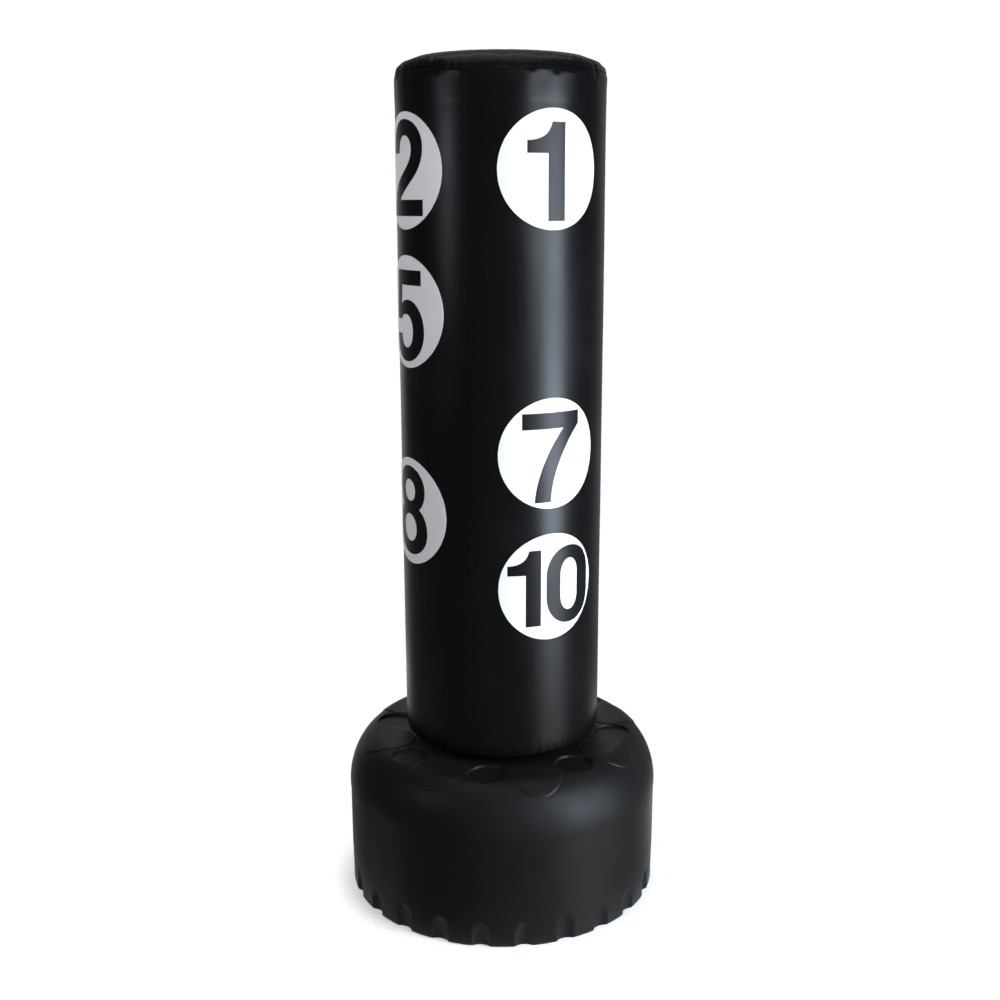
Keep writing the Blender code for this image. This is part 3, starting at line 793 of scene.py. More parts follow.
@dataclass
class MouldedBase:
    """The hollow blow-moulded base: pads and dimples on its top, scoops round its foot, a threaded socket.

    Each end of a thread is given as its distance from the wall's end and the height over which it runs out.
    """

    layout: Layout
    finishes: Finishes
    shoulder_width: float = 0.0625
    shoulder_height: float = 0.097
    shoulder_power: float = 1.83
    parting_drop: float = 0.008
    parting_step: float = 0.0008
    foot_round: float = 0.006
    rest_ring_width: float = 0.045
    underside_rise: float = 0.008
    neck_wall: float = 0.012
    neck_rise: float = 0.006
    neck_round: float = 0.002
    socket_depth: float = 0.114
    wall: float = 0.004
    pattern_count: int = 8
    pad_radius: float = 0.0525
    pad_inset: float = 0.0785
    pad_height: float = 0.0016
    dimple_radius: float = 0.036
    dimple_inset: float = 0.0875
    dimple_depth: float = 0.005
    edge_softness: float = 0.0026
    refined_bands: Point = (0.0034, 0.00187)
    scoops_per_dimple: int = 3
    scoop_width: float = 0.035
    scoop_depth: float = 0.011
    scoop_height: float = 0.053
    scoop_softness: float = 0.004
    port_radius: float = 0.022
    port_boss_wall: float = 0.008
    port_boss_length: float = 0.018
    port_pitch: float = 0.004
    port_thread_cut: float = 0.0007
    thread_pitch: float = 0.0125
    thread_cut: float = 0.0016
    thread_low_end: Point = (0.008, 0.02)
    thread_high_end: Point = (0.004, 0.01)
    segments: int = 336
    port_segments: int = 96
    hidden_segments: int = 48
    fine: float = 0.0042
    coarse: float = 0.02

    @property
    def top(self) -> float:
        """The height of the base's flat top."""
        return self.layout.neck_top - self.neck_rise

    @property
    def wall_top(self) -> float:
        """The height where the shoulder starts."""
        return self.top - self.shoulder_height

    @property
    def wall_radius(self) -> float:
        """The radius of the wall under the parting line."""
        return self.layout.base_radius - self.parting_step

    @property
    def floor(self) -> float:
        """The height of the socket's floor."""
        return self.layout.neck_top - self.socket_depth

    @property
    def pattern_low(self) -> float:
        """The height of the dimples' floors."""
        return self.top - self.dimple_depth

    @property
    def scoop_zone(self) -> float:
        """The height under which the wall is fine enough for the scoops."""
        return 1.1 * self.scoop_height

    def profile(self) -> Line:
        """Draws the shell's outline.

        Returns:
            Its points, from the middle of the socket's floor over the top to the middle underneath.
        """
        socket = self.layout.socket_radius
        neck = socket + self.neck_wall
        neck_top = self.layout.neck_top
        rim = [(socket, neck_top - 1.5 * self.neck_round), (socket, neck_top), (neck, neck_top)]
        rim += [(neck + self.neck_rise, self.top), (neck + 3 * self.neck_rise, self.top)]
        bore = [(0, self.floor), (socket / 2, self.floor)]
        bore += walked([(socket, self.floor), rim[0]], self.thread_pitch / 4)
        rim = filleted(rim, self.neck_round)
        side = (self.layout.base_radius, self.wall_top)
        shoulder = soft_corner(side, (self.shoulder_width, self.shoulder_height), self.shoulder_power)[::-1]
        parting = self.wall_top - self.parting_drop
        flash = [(self.layout.base_radius, parting), (self.wall_radius, parting - self.parting_step)]
        wall = walked([flash[-1], (self.wall_radius, self.scoop_zone)], self.coarse)
        foot_centre = (self.wall_radius - self.foot_round, self.foot_round)
        foot = walked([wall[-1], (self.wall_radius, self.foot_round)], self.fine)
        foot += arc(foot_centre, self.foot_round, 0, -90, 8)[1:]
        rise = self.underside_rise
        rest_inner = foot_centre[0] - self.rest_ring_width
        under = walked([foot[-1], (rest_inner, 0), (rest_inner - rise, rise), (0, rise)], self.coarse)
        top = walked([rim[-1]] + shoulder, self.fine)
        return bore[:-1] + rim + top[1:] + flash + wall[1:] + foot[1:] + under[1:]

    def inside(self, point: Vector, turned: float, inset: float, radius: float) -> float:
        """Measures where a point of the top lies by the nearest of the round shapes of one kind.

        Args:
            point: The point.
            turned: 0.5 for shapes between the pattern's headings, 0 for shapes on them.
            inset: How far inside the base's edge their centres lie.
            radius: Their radius.

        Returns:
            How far the point is inside the outline, less than 0 outside it.
        """
        step = WHOLE_TURN / self.pattern_count
        angle = angle_of(point)
        off = between(angle, (round(angle / step - turned) + turned) * step)
        here = point.xy.length
        centre = self.layout.base_radius - inset
        return radius - math.hypot(here * math.cos(off) - centre, here * math.sin(off))

    def inside_pad(self, point: Vector) -> float:
        """Returns how far a point is inside the nearest pad's outline."""
        return self.inside(point, 0.5, self.pad_inset, self.pad_radius)

    def inside_dimple(self, point: Vector) -> float:
        """Returns how far a point is inside the nearest dimple's outline."""
        return self.inside(point, 0, self.dimple_inset, self.dimple_radius)

    def on_top(self, point: Vector) -> bool:
        """Tells whether a point lies on the top or the shoulder, outside the neck."""
        neck = self.layout.socket_radius + 2 * self.neck_wall
        return point.z > self.wall_top + DOUBLES and point.xy.length > neck

    def refine(self, mesh: BMesh) -> None:
        """Subdivides the faces under the pads' and dimples' edges and lays them on the shoulder's form.

        Args:
            mesh: The shell's sector.
        """
        for band in self.refined_bands:
            near = set()
            for vert in mesh.verts:
                if not self.on_top(vert.co):
                    continue
                if abs(self.inside_pad(vert.co)) < band or abs(self.inside_dimple(vert.co)) < band:
                    near.update(vert.link_faces)
            edges = {edge for face in near for edge in face.edges}
            bmesh.ops.subdivide_edges(mesh, edges=list(edges), cuts=1, use_grid_fill=True)
        inner = self.layout.base_radius - self.shoulder_width
        for vert in mesh.verts:
            radius = vert.co.xy.length
            if self.on_top(vert.co) and radius > inner:
                out = (radius - inner) / self.shoulder_width
                up = (vert.co.z - self.wall_top) / self.shoulder_height
                scale = (out**self.shoulder_power + up**self.shoulder_power) ** (-1 / self.shoulder_power)
                vert.co.xy *= (inner + out * scale * self.shoulder_width) / radius
                vert.co.z = self.wall_top + up * scale * self.shoulder_height
        mesh.normal_update()

    def press_pattern(self, mesh: BMesh) -> None:
        """Raises the pads, sinks the dimples and scoops out the foot.

        Args:
            mesh: The shell's sector, refined.
        """
        for vert in mesh.verts:
            if self.on_top(vert.co):
                pad = ease(self.inside_pad(vert.co) / self.edge_softness + 0.5)
                sunk = ease(self.inside_dimple(vert.co) / self.edge_softness + 0.5)
                vert.co += vert.normal * self.pad_height * pad
                vert.co.z += (min(vert.co.z, self.pattern_low) - vert.co.z) * sunk
            elif vert.co.z < self.scoop_zone and vert.co.xy.length > self.wall_radius - 2 * self.scoop_depth:
                vert.co.xy *= self.scooped(vert.co) / vert.co.xy.length

    def scooped(self, point: Vector) -> float:
        """Finds where the scoops leave the wall.

        Args:
            point: A point of the wall's lower part.

        Returns:
            Its new radius, with the scoop's edge rounded.
        """
        step = WHOLE_TURN / self.pattern_count / self.scoops_per_dimple
        angle = angle_of(point)
        radius = point.xy.length
        across = 2 * radius * math.sin(between(angle, round(angle / step) * step)) / self.scoop_width
        arch = 1 - across**2 - (point.z / self.scoop_height) ** 2
        face = self.layout.base_radius - (self.scoop_depth + self.parting_step) * math.sqrt(max(arch, 0))
        gap = max(self.scoop_softness - abs(radius - face), 0) / self.scoop_softness
        return min(radius, face) - gap * gap * self.scoop_softness / 4

    def tank(self) -> BMesh:
        """Makes the hollow inside, round the socket and under the port.

        Returns:
            The closed hollow.
        """
        outer = self.wall_radius - self.wall
        ceiling = self.pattern_low - self.wall
        well = self.layout.socket_radius + 2 * self.wall
        well_floor = self.floor - self.wall
        low = self.underside_rise + self.wall
        foot = outer - self.scoop_depth - self.wall
        size = (self.shoulder_width, ceiling - self.wall_top)
        line = [(0, well_floor), (well, well_floor), (well, ceiling)]
        line += soft_corner((outer, self.wall_top), size, self.shoulder_power, steps=10)[::-1]
        line += [(outer, self.scoop_height + 3 * self.wall), (foot, self.foot_round + self.wall)]
        return spun(line + [(foot, low), (0, low)], self.hidden_segments)

    def port_cutter(self, place: Vector) -> BMesh:
        """Makes the cutter of the fill port.

        Args:
            place: The port's place.

        Returns:
            The threaded cutter.
        """
        ends = (self.top + self.wall, self.pattern_low - self.port_boss_length)
        line = walked([(self.port_radius, z) for z in ends], self.port_pitch / 5)
        mesh = spun([(0, ends[0])] + line + [(0, ends[1])], self.port_segments)
        press_thread(mesh, self.port_radius, self.port_pitch, -self.port_thread_cut)
        bmesh.ops.translate(mesh, verts=mesh.verts, vec=(place.x, place.y, 0))
        return mesh

    def hollow(self, place: Vector) -> BMesh:
        """Makes the tank with the port's boss standing in it.

        Args:
            place: The port's place.

        Returns:
            The space that is cut out of the shell.
        """
        space = new_object("hollow", self.tank())
        radius = self.port_radius + self.port_boss_wall
        boss = bmesh.new()
        bmesh.ops.create_cone(
            boss, cap_ends=True, segments=self.hidden_segments, radius1=radius, radius2=radius,
            depth=2 * self.port_boss_length,
            matrix=Matrix.Translation((place.x, place.y, self.pattern_low))
        )
        cut(space, boss)
        mesh = bmesh.new()
        mesh.from_mesh(space.data)
        bpy.data.objects.remove(space, do_unlink=True)
        return mesh

    def build(self) -> None:
        """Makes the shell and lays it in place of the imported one."""
        mesh = spun_sector(self.profile(), self.segments, self.pattern_count)
        bmesh.ops.recalc_face_normals(mesh, faces=mesh.faces)
        self.refine(mesh)
        self.press_pattern(mesh)
        repeated(mesh, self.pattern_count)
        low_end, low_run = self.thread_low_end
        high_end, high_run = self.thread_high_end
        ends = [(self.floor + low_end, low_run), (self.layout.neck_top - high_end, -high_run)]
        press_thread(mesh, self.layout.socket_radius, self.thread_pitch, -self.thread_cut, ends)
        shell = new_object("base_moulding", mesh, self.finishes.base_plastic)
        low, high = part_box("fill_cap")
        place = (low + high) / 2
        cut(shell, self.hollow(place))
        cut(shell, self.port_cutter(place))
        mounted(shell, Body.BASE, ["base_shell"])


@dataclass
class BagWall:
    """The bag's side as it hangs over its foam: where it lies in a little, and how."""

    layout: Layout
    waist_height: float = 1.44
    waist_spread: float = 0.1
    waist_depth: float = 0.0008
    sag_depth: float = 0.0007
    sag_spread: float = 0.16
    sag_length: float = 0.4

    def dent(self, angle: float, z: float) -> float:
        """Measures how slack the wall is.

        Args:
            angle: Where, round the axis.
            z: Where, in height.

        Returns:
            How far the wall lies inside its radius there.
        """
        waist = self.waist_depth * bell((z - self.waist_height) / self.waist_spread)
        x, y = polar(self.layout.bag_radius / self.sag_spread, angle)
        wander = noise.noise(Vector((x, y, z / self.sag_length)))
        return waist + self.sag_depth * max(wander, 0.0)


@dataclass(frozen=True)
class Pucker:
    """One small fold beside the seam: a groove that its thread draws in or, of depth below 0, a ridge."""

    angle: float
    width: float
    depth: float
    length: float
    lean: float


@dataclass(frozen=True)
class Stretch:
    """A stretch of the cover's outline, from the seam to where the cover lies still again."""

    line: Line
    fade: float = 0.03
    grip: float = 0.004

    @property
    def reach(self) -> float:
        """How far the stretch's end is from the seam."""
        return self.from_seam(Vector((self.line[-1][0], 0, self.line[-1][1])))

    def from_seam(self, place: Vector) -> float:
        """Returns how far a place is from the seam, in the outline's plane."""
        return (Vector((place.xy.length, place.z)) - Vector(self.line[0])).length

    def holds(self, place: Vector) -> bool:
        """Tells whether the cover is held here, by the seam's thread or at the stretch's end."""
        at_seam = abs(place.z - self.line[0][1]) < CLEARANCE
        return at_seam or self.from_seam(place) > self.reach - self.grip

    def share(self, place: Vector) -> float:
        """Returns how much of the swelling a place takes."""
        return ease((self.reach - self.from_seam(place)) / self.fade)


@dataclass(frozen=True)
class Swelling:
    """A cloth simulation of cover that the foam behind it presses out while its edges are held."""

    inset: float = 0.0014
    pressure: float = 4.0
    spare_cloth: float = 0.009
    mass: float = 0.4
    bending: float = 12.0
    quality: int = 5
    frames: int = 20
    farthest: float = 0.004

    def simulate(self, sheet: BMesh, stretch: Stretch) -> Piece:
        """Lets a sheet swell from slightly inside its place.

        Args:
            sheet: The sheet, which is used up.
            stretch: The same as an outline.

        Returns:
            The swelled sheet.
        """
        stays = [vert.index for vert in sheet.verts if stretch.holds(vert.co)]
        for vert in sheet.verts:
            vert.co -= vert.normal * self.inset
        piece = new_object("swelling_sheet", sheet)
        piece.vertex_groups.new(name="held").add(stays, 1.0, "REPLACE")
        cloth = piece.modifiers.new("swelling", "CLOTH")
        cloth.settings.quality = self.quality
        cloth.settings.mass = self.mass
        cloth.settings.bending_stiffness = self.bending
        cloth.settings.vertex_group_mass = "held"
        cloth.settings.shrink_min = -self.spare_cloth
        cloth.settings.use_pressure = True
        cloth.settings.uniform_pressure_force = self.pressure
        cloth.settings.effector_weights.gravity = 0
        cloth.collision_settings.use_collision = False
        cloth.collision_settings.use_self_collision = False
        cloth.point_cache.frame_start = 1
        cloth.point_cache.frame_end = self.frames
        for number in range(1, self.frames + 1):
            bpy.context.scene.frame_set(number)
        return with_modifiers_applied(piece)

    def apply(self, mesh: BMesh, sheet: BMesh, stretch: Stretch) -> None:
        """Moves a piece of the cover as its outer face moves in the simulation.

        Args:
            mesh: The piece, as a closed solid.
            sheet: The stretch of its outer face that swells, at its full size. It is used up.
            stretch: The same stretch as an outline.
        """
        sheet.verts.index_update()
        full = [vert.co.copy() for vert in sheet.verts]
        piece = self.simulate(sheet, stretch)
        places = KDTree(len(full))
        moves = []
        for i, (place, vert) in enumerate(zip(full, piece.data.vertices)):
            places.insert(place, i)
            move = vert.co - place
            moves.append(move * min(1.0, self.farthest / max(move.length, DOUBLES)))
        places.balance()
        for vert in mesh.verts:
            share = stretch.share(vert.co)
            if share > 0:
                vert.co += moves[places.find(vert.co)[1]] * share
        bpy.data.objects.remove(piece, do_unlink=True)
        bpy.context.scene.frame_set(1)


@dataclass
class PaddedCover:
    """The vinyl cover over its foam: sleeve, crowned top panel, the seam between them, gathered hem.

    A zone is given as the radius where it starts and the width over which it rises. A sway is given as how
    far waves are moved along, in radians, and how often round the bag.
    """

    layout: Layout
    finishes: Finishes
    wall: BagWall
    thickness: float = 0.0018
    foot_round: float = 0.006
    crown_rise: float = 0.006
    crown_slack: float = 0.0015
    edge_width: float = 0.089
    edge_height: float = 0.0417
    edge_power: float = 2.8
    seam_drop: float = 0.034
    seam_wander: float = 0.0013
    wander_band: float = 0.012
    wander_zone: Point = (0.15, 0.03)
    wander_scale: float = 1.7
    wander_slice: float = 0.4
    swelling: Swelling = Swelling()
    swelled_side: float = 0.07
    swelled_crown: float = 0.05
    seam_tuck: float = 0.0005
    seam_roll: float = 0.0035
    seam_allowance: float = 0.008
    hem_gap: float = 0.020
    flange_radius: float = 0.120
    gutter_width: float = 0.009
    gutter_depth: float = 0.006
    gutter_lip: float = 0.003
    cord_radius: float = 0.0022
    cord_fit: float = 0.9
    cord_drop: float = 0.0004
    pucker_count: int = 84
    pucker_seed: int = 12
    pucker_scatter: float = 0.45
    pucker_widths: Point = (0.012, 0.026)
    pucker_depths: Point = (0.0004, 0.0017)
    pucker_lengths: Point = (0.016, 0.042)
    pucker_lean: float = 1.3
    pucker_reach: float = 2.2
    crown_seam_inset: float = 0.012
    crown_shortening: float = 1.4
    ridge_share: float = 0.6
    ridge_height: float = 0.6
    gathered_height: float = 0.03
    pleat_count: int = 58
    pleat_depth: float = 0.0016
    pleat_start: float = 1.6
    pleat_sway: Point = (1.6, 5)
    second_pleats: float = 1.15
    second_share: float = 0.5
    second_sway: Point = (2, 3)
    edge_band: float = 0.011
    edge_zone: Point = (0.17, 0.02)
    edge_scale: float = 7.0
    edge_lift: float = 0.0016
    edge_draw: float = 0.0011
    turn_fine: float = 0.001
    panel_fine: float = 0.003
    side_coarse: float = 0.02
    segments: int = 400
    cord_segments: int = 192

    @property
    def rim(self) -> float:
        """The height where the side starts to turn over into the top."""
        return self.layout.crown_top - self.crown_rise - self.edge_height

    @property
    def seam(self) -> float:
        """The height of the seam."""
        return self.layout.crown_top - self.seam_drop

    def edge(self, part: Point, steps: int) -> Line:
        """Returns part of the turn from the side to the top."""
        size = (self.edge_width, self.edge_height)
        return soft_corner((self.layout.bag_radius, self.rim), size, self.edge_power, part, steps)

    @property
    def seam_share(self) -> float:
        """How far round the top edge the seam lies."""
        rise = (self.seam - self.rim) / self.edge_height
        return math.asin(rise ** (self.edge_power / 2)) / (0.5 * math.pi)

    def tucked(self, line: Line) -> Line:
        """Rolls the points close to the seam into it.

        Args:
            line: Part of the outline.

        Returns:
            The rolled line.
        """
        moved = []
        for r, z in line:
            near = max(0.0, 1 - abs(z - self.seam) / self.seam_roll)
            moved.append((r - self.seam_tuck * near**2, z))
        return moved

    def puckers(self) -> list[Pucker]:
        """Spreads the seam's folds unevenly and gives them uneven sizes.

        Returns:
            The folds.
        """
        chance = random.Random(self.pucker_seed)
        made = []
        for i in range(self.pucker_count):
            place = i + chance.uniform(-self.pucker_scatter, self.pucker_scatter)
            angle = WHOLE_TURN * place / self.pucker_count
            strong = chance.random() ** 2
            width = chance.uniform(*self.pucker_widths)
            depth = self.pucker_depths[0] * (1 - strong) + self.pucker_depths[1] * strong
            length = self.pucker_lengths[0] * (1 - strong) + self.pucker_lengths[1] * strong
            if chance.random() < self.ridge_share:
                depth *= -self.ridge_height
            lean = chance.uniform(-self.pucker_lean, self.pucker_lean)
            made.append(Pucker(angle, width, depth, length, lean))
        return made

    def draw_in(self, mesh: BMesh, folds: Sequence[Pucker], upwards: bool) -> None:
        """Presses the seam's folds into the cover on one side of the seam.

        Args:
            mesh: The sleeve or the top panel.
            folds: The folds.
            upwards: Whether the mesh lies over the seam.
        """
        reach = max(fold.length for fold in folds)
        shoulder = self.layout.bag_radius - self.crown_seam_inset
        for vert in mesh.verts:
            away = (vert.co.z - self.seam) * (1 if upwards else -1)
            radius = vert.co.xy.length
            if upwards:
                away = math.hypot(away, max(shoulder - radius, 0)) * self.crown_shortening
            if not 0 <= away < reach or radius < 0.5 * self.layout.bag_radius:
                continue
            pull = 0.0
            for fold in folds:
                off = between(angle_of(vert.co), fold.angle + fold.lean * away) / fold.width
                if abs(off) < self.pucker_reach and away < fold.length:
                    pull += fold.depth * bell(off) * ease(1 - away / fold.length)
            vert.co.xy *= 1 - pull / radius

    def hem_line(self) -> Line:
        """Draws the hem that lies under the bag.

        Returns:
            Its outline, from its inner edge over the cord's gutter to the foot.
        """
        low = self.layout.bag_low
        bottom = low - self.gutter_depth
        inner = self.flange_radius + self.hem_gap
        gutter = inner + self.gutter_lip
        far = gutter + self.gutter_width
        lip = (inner, bottom + self.gutter_lip)
        return [lip, (gutter, bottom), (far, bottom), (far + self.gutter_depth, low)]

    def sleeve_outline(self, upper: Line, turn_in: Line) -> Line:
        """Draws the sleeve's whole outline.

        Args:
            upper: The stretch of the side under the rim.
            turn_in: The stretch from the rim to the seam.

        Returns:
            The outline, from the seam down the outer face to the hem and back along the inner face.
        """
        radius = self.layout.bag_radius
        side_low = self.layout.bag_low + self.foot_round
        side = walked([(radius, side_low), upper[0]], self.side_coarse)
        foot = arc((radius - self.foot_round, side_low), self.foot_round, -90, 0, 8)
        stops = self.hem_line()
        hem = walked(stops + [foot[0]], self.panel_fine)
        flap = (turn_in[-1][0] - self.seam_allowance, self.seam)
        outer = (hem[:-1] + foot + side[1:] + upper[1:] + turn_in[1:] + [flap])[::-1]
        inner = [flap, (turn_in[-1][0], self.seam), (radius, self.rim), (radius, side_low)]
        inner += [foot[2], foot[0], hem[-2]] + stops[::-1]
        return outer + inset_line(inner, self.thickness)[::-1]

    def build_sleeve(self, folds: Sequence[Pucker]) -> None:
        """Makes the sleeve with its rolled foot and the hem that the cord gathers.

        Args:
            folds: The seam's folds.
        """
        radius = self.layout.bag_radius
        turn_in = self.tucked(walked(self.edge((0, self.seam_share), 12), self.turn_fine))
        upper = walked([(radius, self.seam - self.swelled_side), (radius, self.rim)], self.panel_fine)
        mesh = spun(self.sleeve_outline(upper, turn_in), self.segments)
        self.draw_in(mesh, folds, upwards=False)
        stretch = Stretch((upper + turn_in[1:])[::-1])
        sheet = spun(stretch.line, self.segments, solid=False)
        self.draw_in(sheet, folds, upwards=False)
        self.swelling.apply(mesh, sheet, stretch)
        self.wander_seam(mesh)
        self.slacken(mesh)
        self.gather(mesh)
        sleeve = new_object("cover_side", mesh, self.finishes.black_vinyl, smooth=50)
        mounted(sleeve, Body.BAG, ["cover_sleeve"])

    def wander_seam(self, mesh: BMesh) -> None:
        """Lets the seam's line rise and fall a little on its way round.

        Args:
            mesh: The sleeve or the top panel.
        """
        start, run = self.wander_zone
        for vert in mesh.verts:
            place = Vector((*polar(self.wander_scale, angle_of(vert.co)), self.wander_slice))
            near = bell((vert.co.z - self.seam) / self.wander_band) * ease((vert.co.xy.length - start) / run)
            vert.co.z += self.seam_wander * near * noise.noise(place)

    def slacken(self, mesh: BMesh) -> None:
        """Lets the side lie in here and there, as the wall's own form says.

        Args:
            mesh: The sleeve.
        """
        for vert in mesh.verts:
            radius = vert.co.xy.length
            if radius < 0.9 * self.layout.bag_radius:
                continue
            vert.co.xy *= 1 - self.wall.dent(angle_of(vert.co), vert.co.z) / radius

    def gather(self, mesh: BMesh) -> None:
        """Folds the underside into the pleats that the drawcord makes, and lets them show at the bag's edge.

        Args:
            mesh: The sleeve.
        """
        chance = random.Random(self.pucker_seed + 1)
        phases = [chance.uniform(0, WHOLE_TURN) for _ in range(3)]
        outer = self.layout.bag_radius
        inner = self.flange_radius + self.hem_gap
        start, run = self.edge_zone
        for vert in mesh.verts:
            if vert.co.z > self.layout.bag_low + self.gathered_height:
                continue
            radius = vert.co.xy.length
            angle = angle_of(vert.co)
            sway = self.pleat_sway[0] * math.sin(self.pleat_sway[1] * angle + phases[0])
            second = self.second_sway[0] * math.sin(self.second_sway[1] * angle + phases[1])
            wave = math.sin(self.pleat_count * angle + sway)
            wave += self.second_share * math.sin(self.second_pleats * self.pleat_count * angle + second)
            inward = ease((outer - radius) / (outer - inner) * self.pleat_start)
            vert.co.z -= self.pleat_depth * inward * (0.75 + 0.5 * wave)
            edge = bell((vert.co.z - self.layout.bag_low) / self.edge_band) * ease((radius - start) / run)
            lift = noise.noise(Vector((*polar(self.edge_scale, angle), phases[2])))
            vert.co.z += self.edge_lift * edge * lift
            vert.co.xy *= 1 - self.edge_draw * edge * (0.5 + 0.5 * wave) / radius

    def build_top(self, folds: Sequence[Pucker]) -> None:
        """Makes the crowned top panel.

        Args:
            folds: The seam's folds.
        """
        flat = self.layout.bag_radius - self.edge_width
        top = self.layout.crown_top - self.crown_rise
        rise = self.crown_rise - self.crown_slack
        crown = [(flat * (1 - i / 12), top + rise * (1 - (1 - i / 12) ** 2)) for i in range(1, 13)]
        edge = self.tucked(self.edge((self.seam_share, 1), 60))
        swelled = [point for point in edge if point[0] > self.layout.bag_radius - self.swelled_crown]
        flap = (edge[0][0] - self.seam_allowance, self.seam + CLEARANCE)
        line = [flap, (edge[0][0], self.seam + CLEARANCE)] + edge[1:] + crown
        inner = inset_line([line[-1], line[-8], edge[40], edge[20], edge[8], line[1], flap], -self.thickness)
        inner = [(0, line[-1][1] - self.thickness)] + [(abs(r), z) for r, z in inner[1:]]
        mesh = spun(line + inner, self.segments)
        self.draw_in(mesh, folds, upwards=True)
        sheet = spun(swelled, self.segments, solid=False)
        self.draw_in(sheet, folds, upwards=True)
        self.swelling.apply(mesh, sheet, Stretch(swelled))
        self.wander_seam(mesh)
        top_panel = new_object("cover_crown", mesh, self.finishes.black_vinyl, smooth=60)
        mounted(top_panel, Body.BAG, ["cover_top"])

    def build_cord(self) -> None:
        """Makes the drawcord in its gutter."""
        low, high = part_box("hem_cord")
        centre = (high.x - self.cord_radius, (low.z + high.z) / 2 - self.cord_drop)
        mesh = spun(arc(centre, self.cord_radius * self.cord_fit, 0, -324, 9), self.cord_segments)
        cord = new_object("hem_drawcord", mesh, self.finishes.nylon_cord)
        mounted(cord, Body.BAG, ["hem_cord"])

    def build(self) -> None:
        """Makes the whole cover."""
        folds = self.puckers()
        self.build_sleeve(folds)
        self.build_top(folds)
        self.build_cord()


class Pen:
    """Draws the closed outline of a numeral, in millimetres from its disc's centre."""

    def __init__(self, x: float, y: float) -> None:
        """Starts the outline at a point."""
        self.points: list[Vector] = [Vector((x, y))]

    def line(self, *corners: Point) -> "Pen":
        """Runs straight through each corner in turn."""
        self.points += [Vector(corner) for corner in corners]
        return self

    def curve(self, first: Point, second: Point, end: Point, steps: int = 14) -> "Pen":
        """Runs along a cubic curve.

        Args:
            first: The handle of its start.
            second: The handle of its end.
            end: Its end.
            steps: The runs that it is drawn with.

        Returns:
            This pen.
        """
        start = self.points[-1]
        for i in range(1, steps + 1):
            t = i / steps
            near = start * (1 - t) ** 3 + Vector(first) * 3 * t * (1 - t) ** 2
            self.points.append(near + Vector(second) * 3 * t * t * (1 - t) + Vector(end) * t**3)
        return self

    def round(self, x: float, y: float, level_first: bool, fullness: float = 0.58) -> "Pen":
        """Makes a quarter turn to a point, leaving level or upright.

        Args:
            x: The end's place across.
            y: The end's height.
            level_first: Whether the turn leaves level and arrives upright, or the other way round.
            fullness: The handles' share of the turn's sides. 0.55 is an ellipse.

        Returns:
            This pen.
        """
        start = self.points[-1]
        across = (x - start.x) * fullness
        along = (y - start.y) * fullness
        if level_first:
            return self.curve((start.x + across, start.y), (x, y - along), (x, y))
        return self.curve((start.x, start.y + along), (x - across, y), (x, y))


def oval(x: float, y: float, half_width: float, half_height: float, upright: float = 0.0) -> Outline:
    """Draws an oval.

    Args:
        x: Its centre's place across.
        y: Its centre's height.
        half_width: Half its width.
        half_height: Half its height.
        upright: Half the height of its upright sides.

    Returns:
        Its outline.
    """
    pen = Pen(x, y + half_height)
    pen.round(x + half_width, y + upright, True).line((x + half_width, y - upright))
    pen.round(x, y - half_height, False).round(x - half_width, y - upright, True)
    pen.line((x - half_width, y + upright)).round(x, y + half_height, False)
    return pen.points[:-1]


def zero() -> list[Outline]:
    """Returns the outlines of a 0."""
    return [oval(0, 0, 58, 86, 22), oval(0, 0, 23.6, 57.5, 22)]


def one() -> list[Outline]:
    """Returns the outline of a 1."""
    pen = Pen(-4, 80).line((22.8, 80), (22.8, -87), (-11, -87), (-11, 27.5), (-50.3, 27.5), (-50.3, 49))
    return [pen.curve((-26, 49), (-8, 58), (-4, 80)).points[:-1]]


def two() -> list[Outline]:
    """Draws a 2.

    Returns:
        Its outlines.
    """
    pen = Pen(-57, 31.7).round(-1, 89.7, False).round(57.8, 40, True).curve((57.8, 12), (40, -7), (20, -20))
    pen.line((-18, -46), (-21, -50), (57.8, -50), (57.8, -78.6), (-59, -78.6))
    pen.curve((-58, -52), (-48, -32), (-27, -16)).curve((-4, 1), (24.5, 12), (24.5, 38))
    return [pen.round(0, 61.7, False).round(-24, 31.7, True).points]


def three() -> list[Outline]:
    """Draws a 3.

    Returns:
        Its outlines.
    """
    pen = Pen(-54, 36).round(-2, 86, False).round(51, 42, True).curve((51, 25), (43, 13), (31, 6))
    pen.curve((46, -1), (56.5, -14), (56.5, -36)).round(-2, -86, False).round(-58, -38, True).line((-26, -38))
    pen.round(-2, -60, False).round(23, -35, True).round(-6, -11, False).line((-15, -11), (-15, 15))
    return [pen.line((-6, 15)).round(19, 38, True).round(-3, 60, False).round(-23, 36, True).points]


def four() -> list[Outline]:
    """Draws a 4.

    Returns:
        Its outlines.
    """
    outer = Pen(2, 84).line((36, 84), (36, -22), (56, -22), (56, -50), (36, -50), (36, -84))
    outer.line((4, -84), (4, -50), (-62, -50), (-62, -21))
    return [outer.points, Pen(4, 40).line((4, -22), (-33, -22)).points]


def five() -> list[Outline]:
    """Draws a 5.

    Returns:
        Its outlines.
    """
    pen = Pen(-44, 76.2).line((49.3, 76.2), (49.3, 49), (-21, 49), (-25, 14))
    pen.curve((-16, 20), (-6, 22.5), (6, 22.5)).round(56, -34, True).round(-2, -90.7, False)
    pen.round(-58, -41, True).line((-26, -41)).round(-2, -65.3, False).round(22, -34, True)
    return [pen.round(-3, -4, False).curve((-14, -4), (-22, -8), (-26, -14)).line((-55, -14)).points]


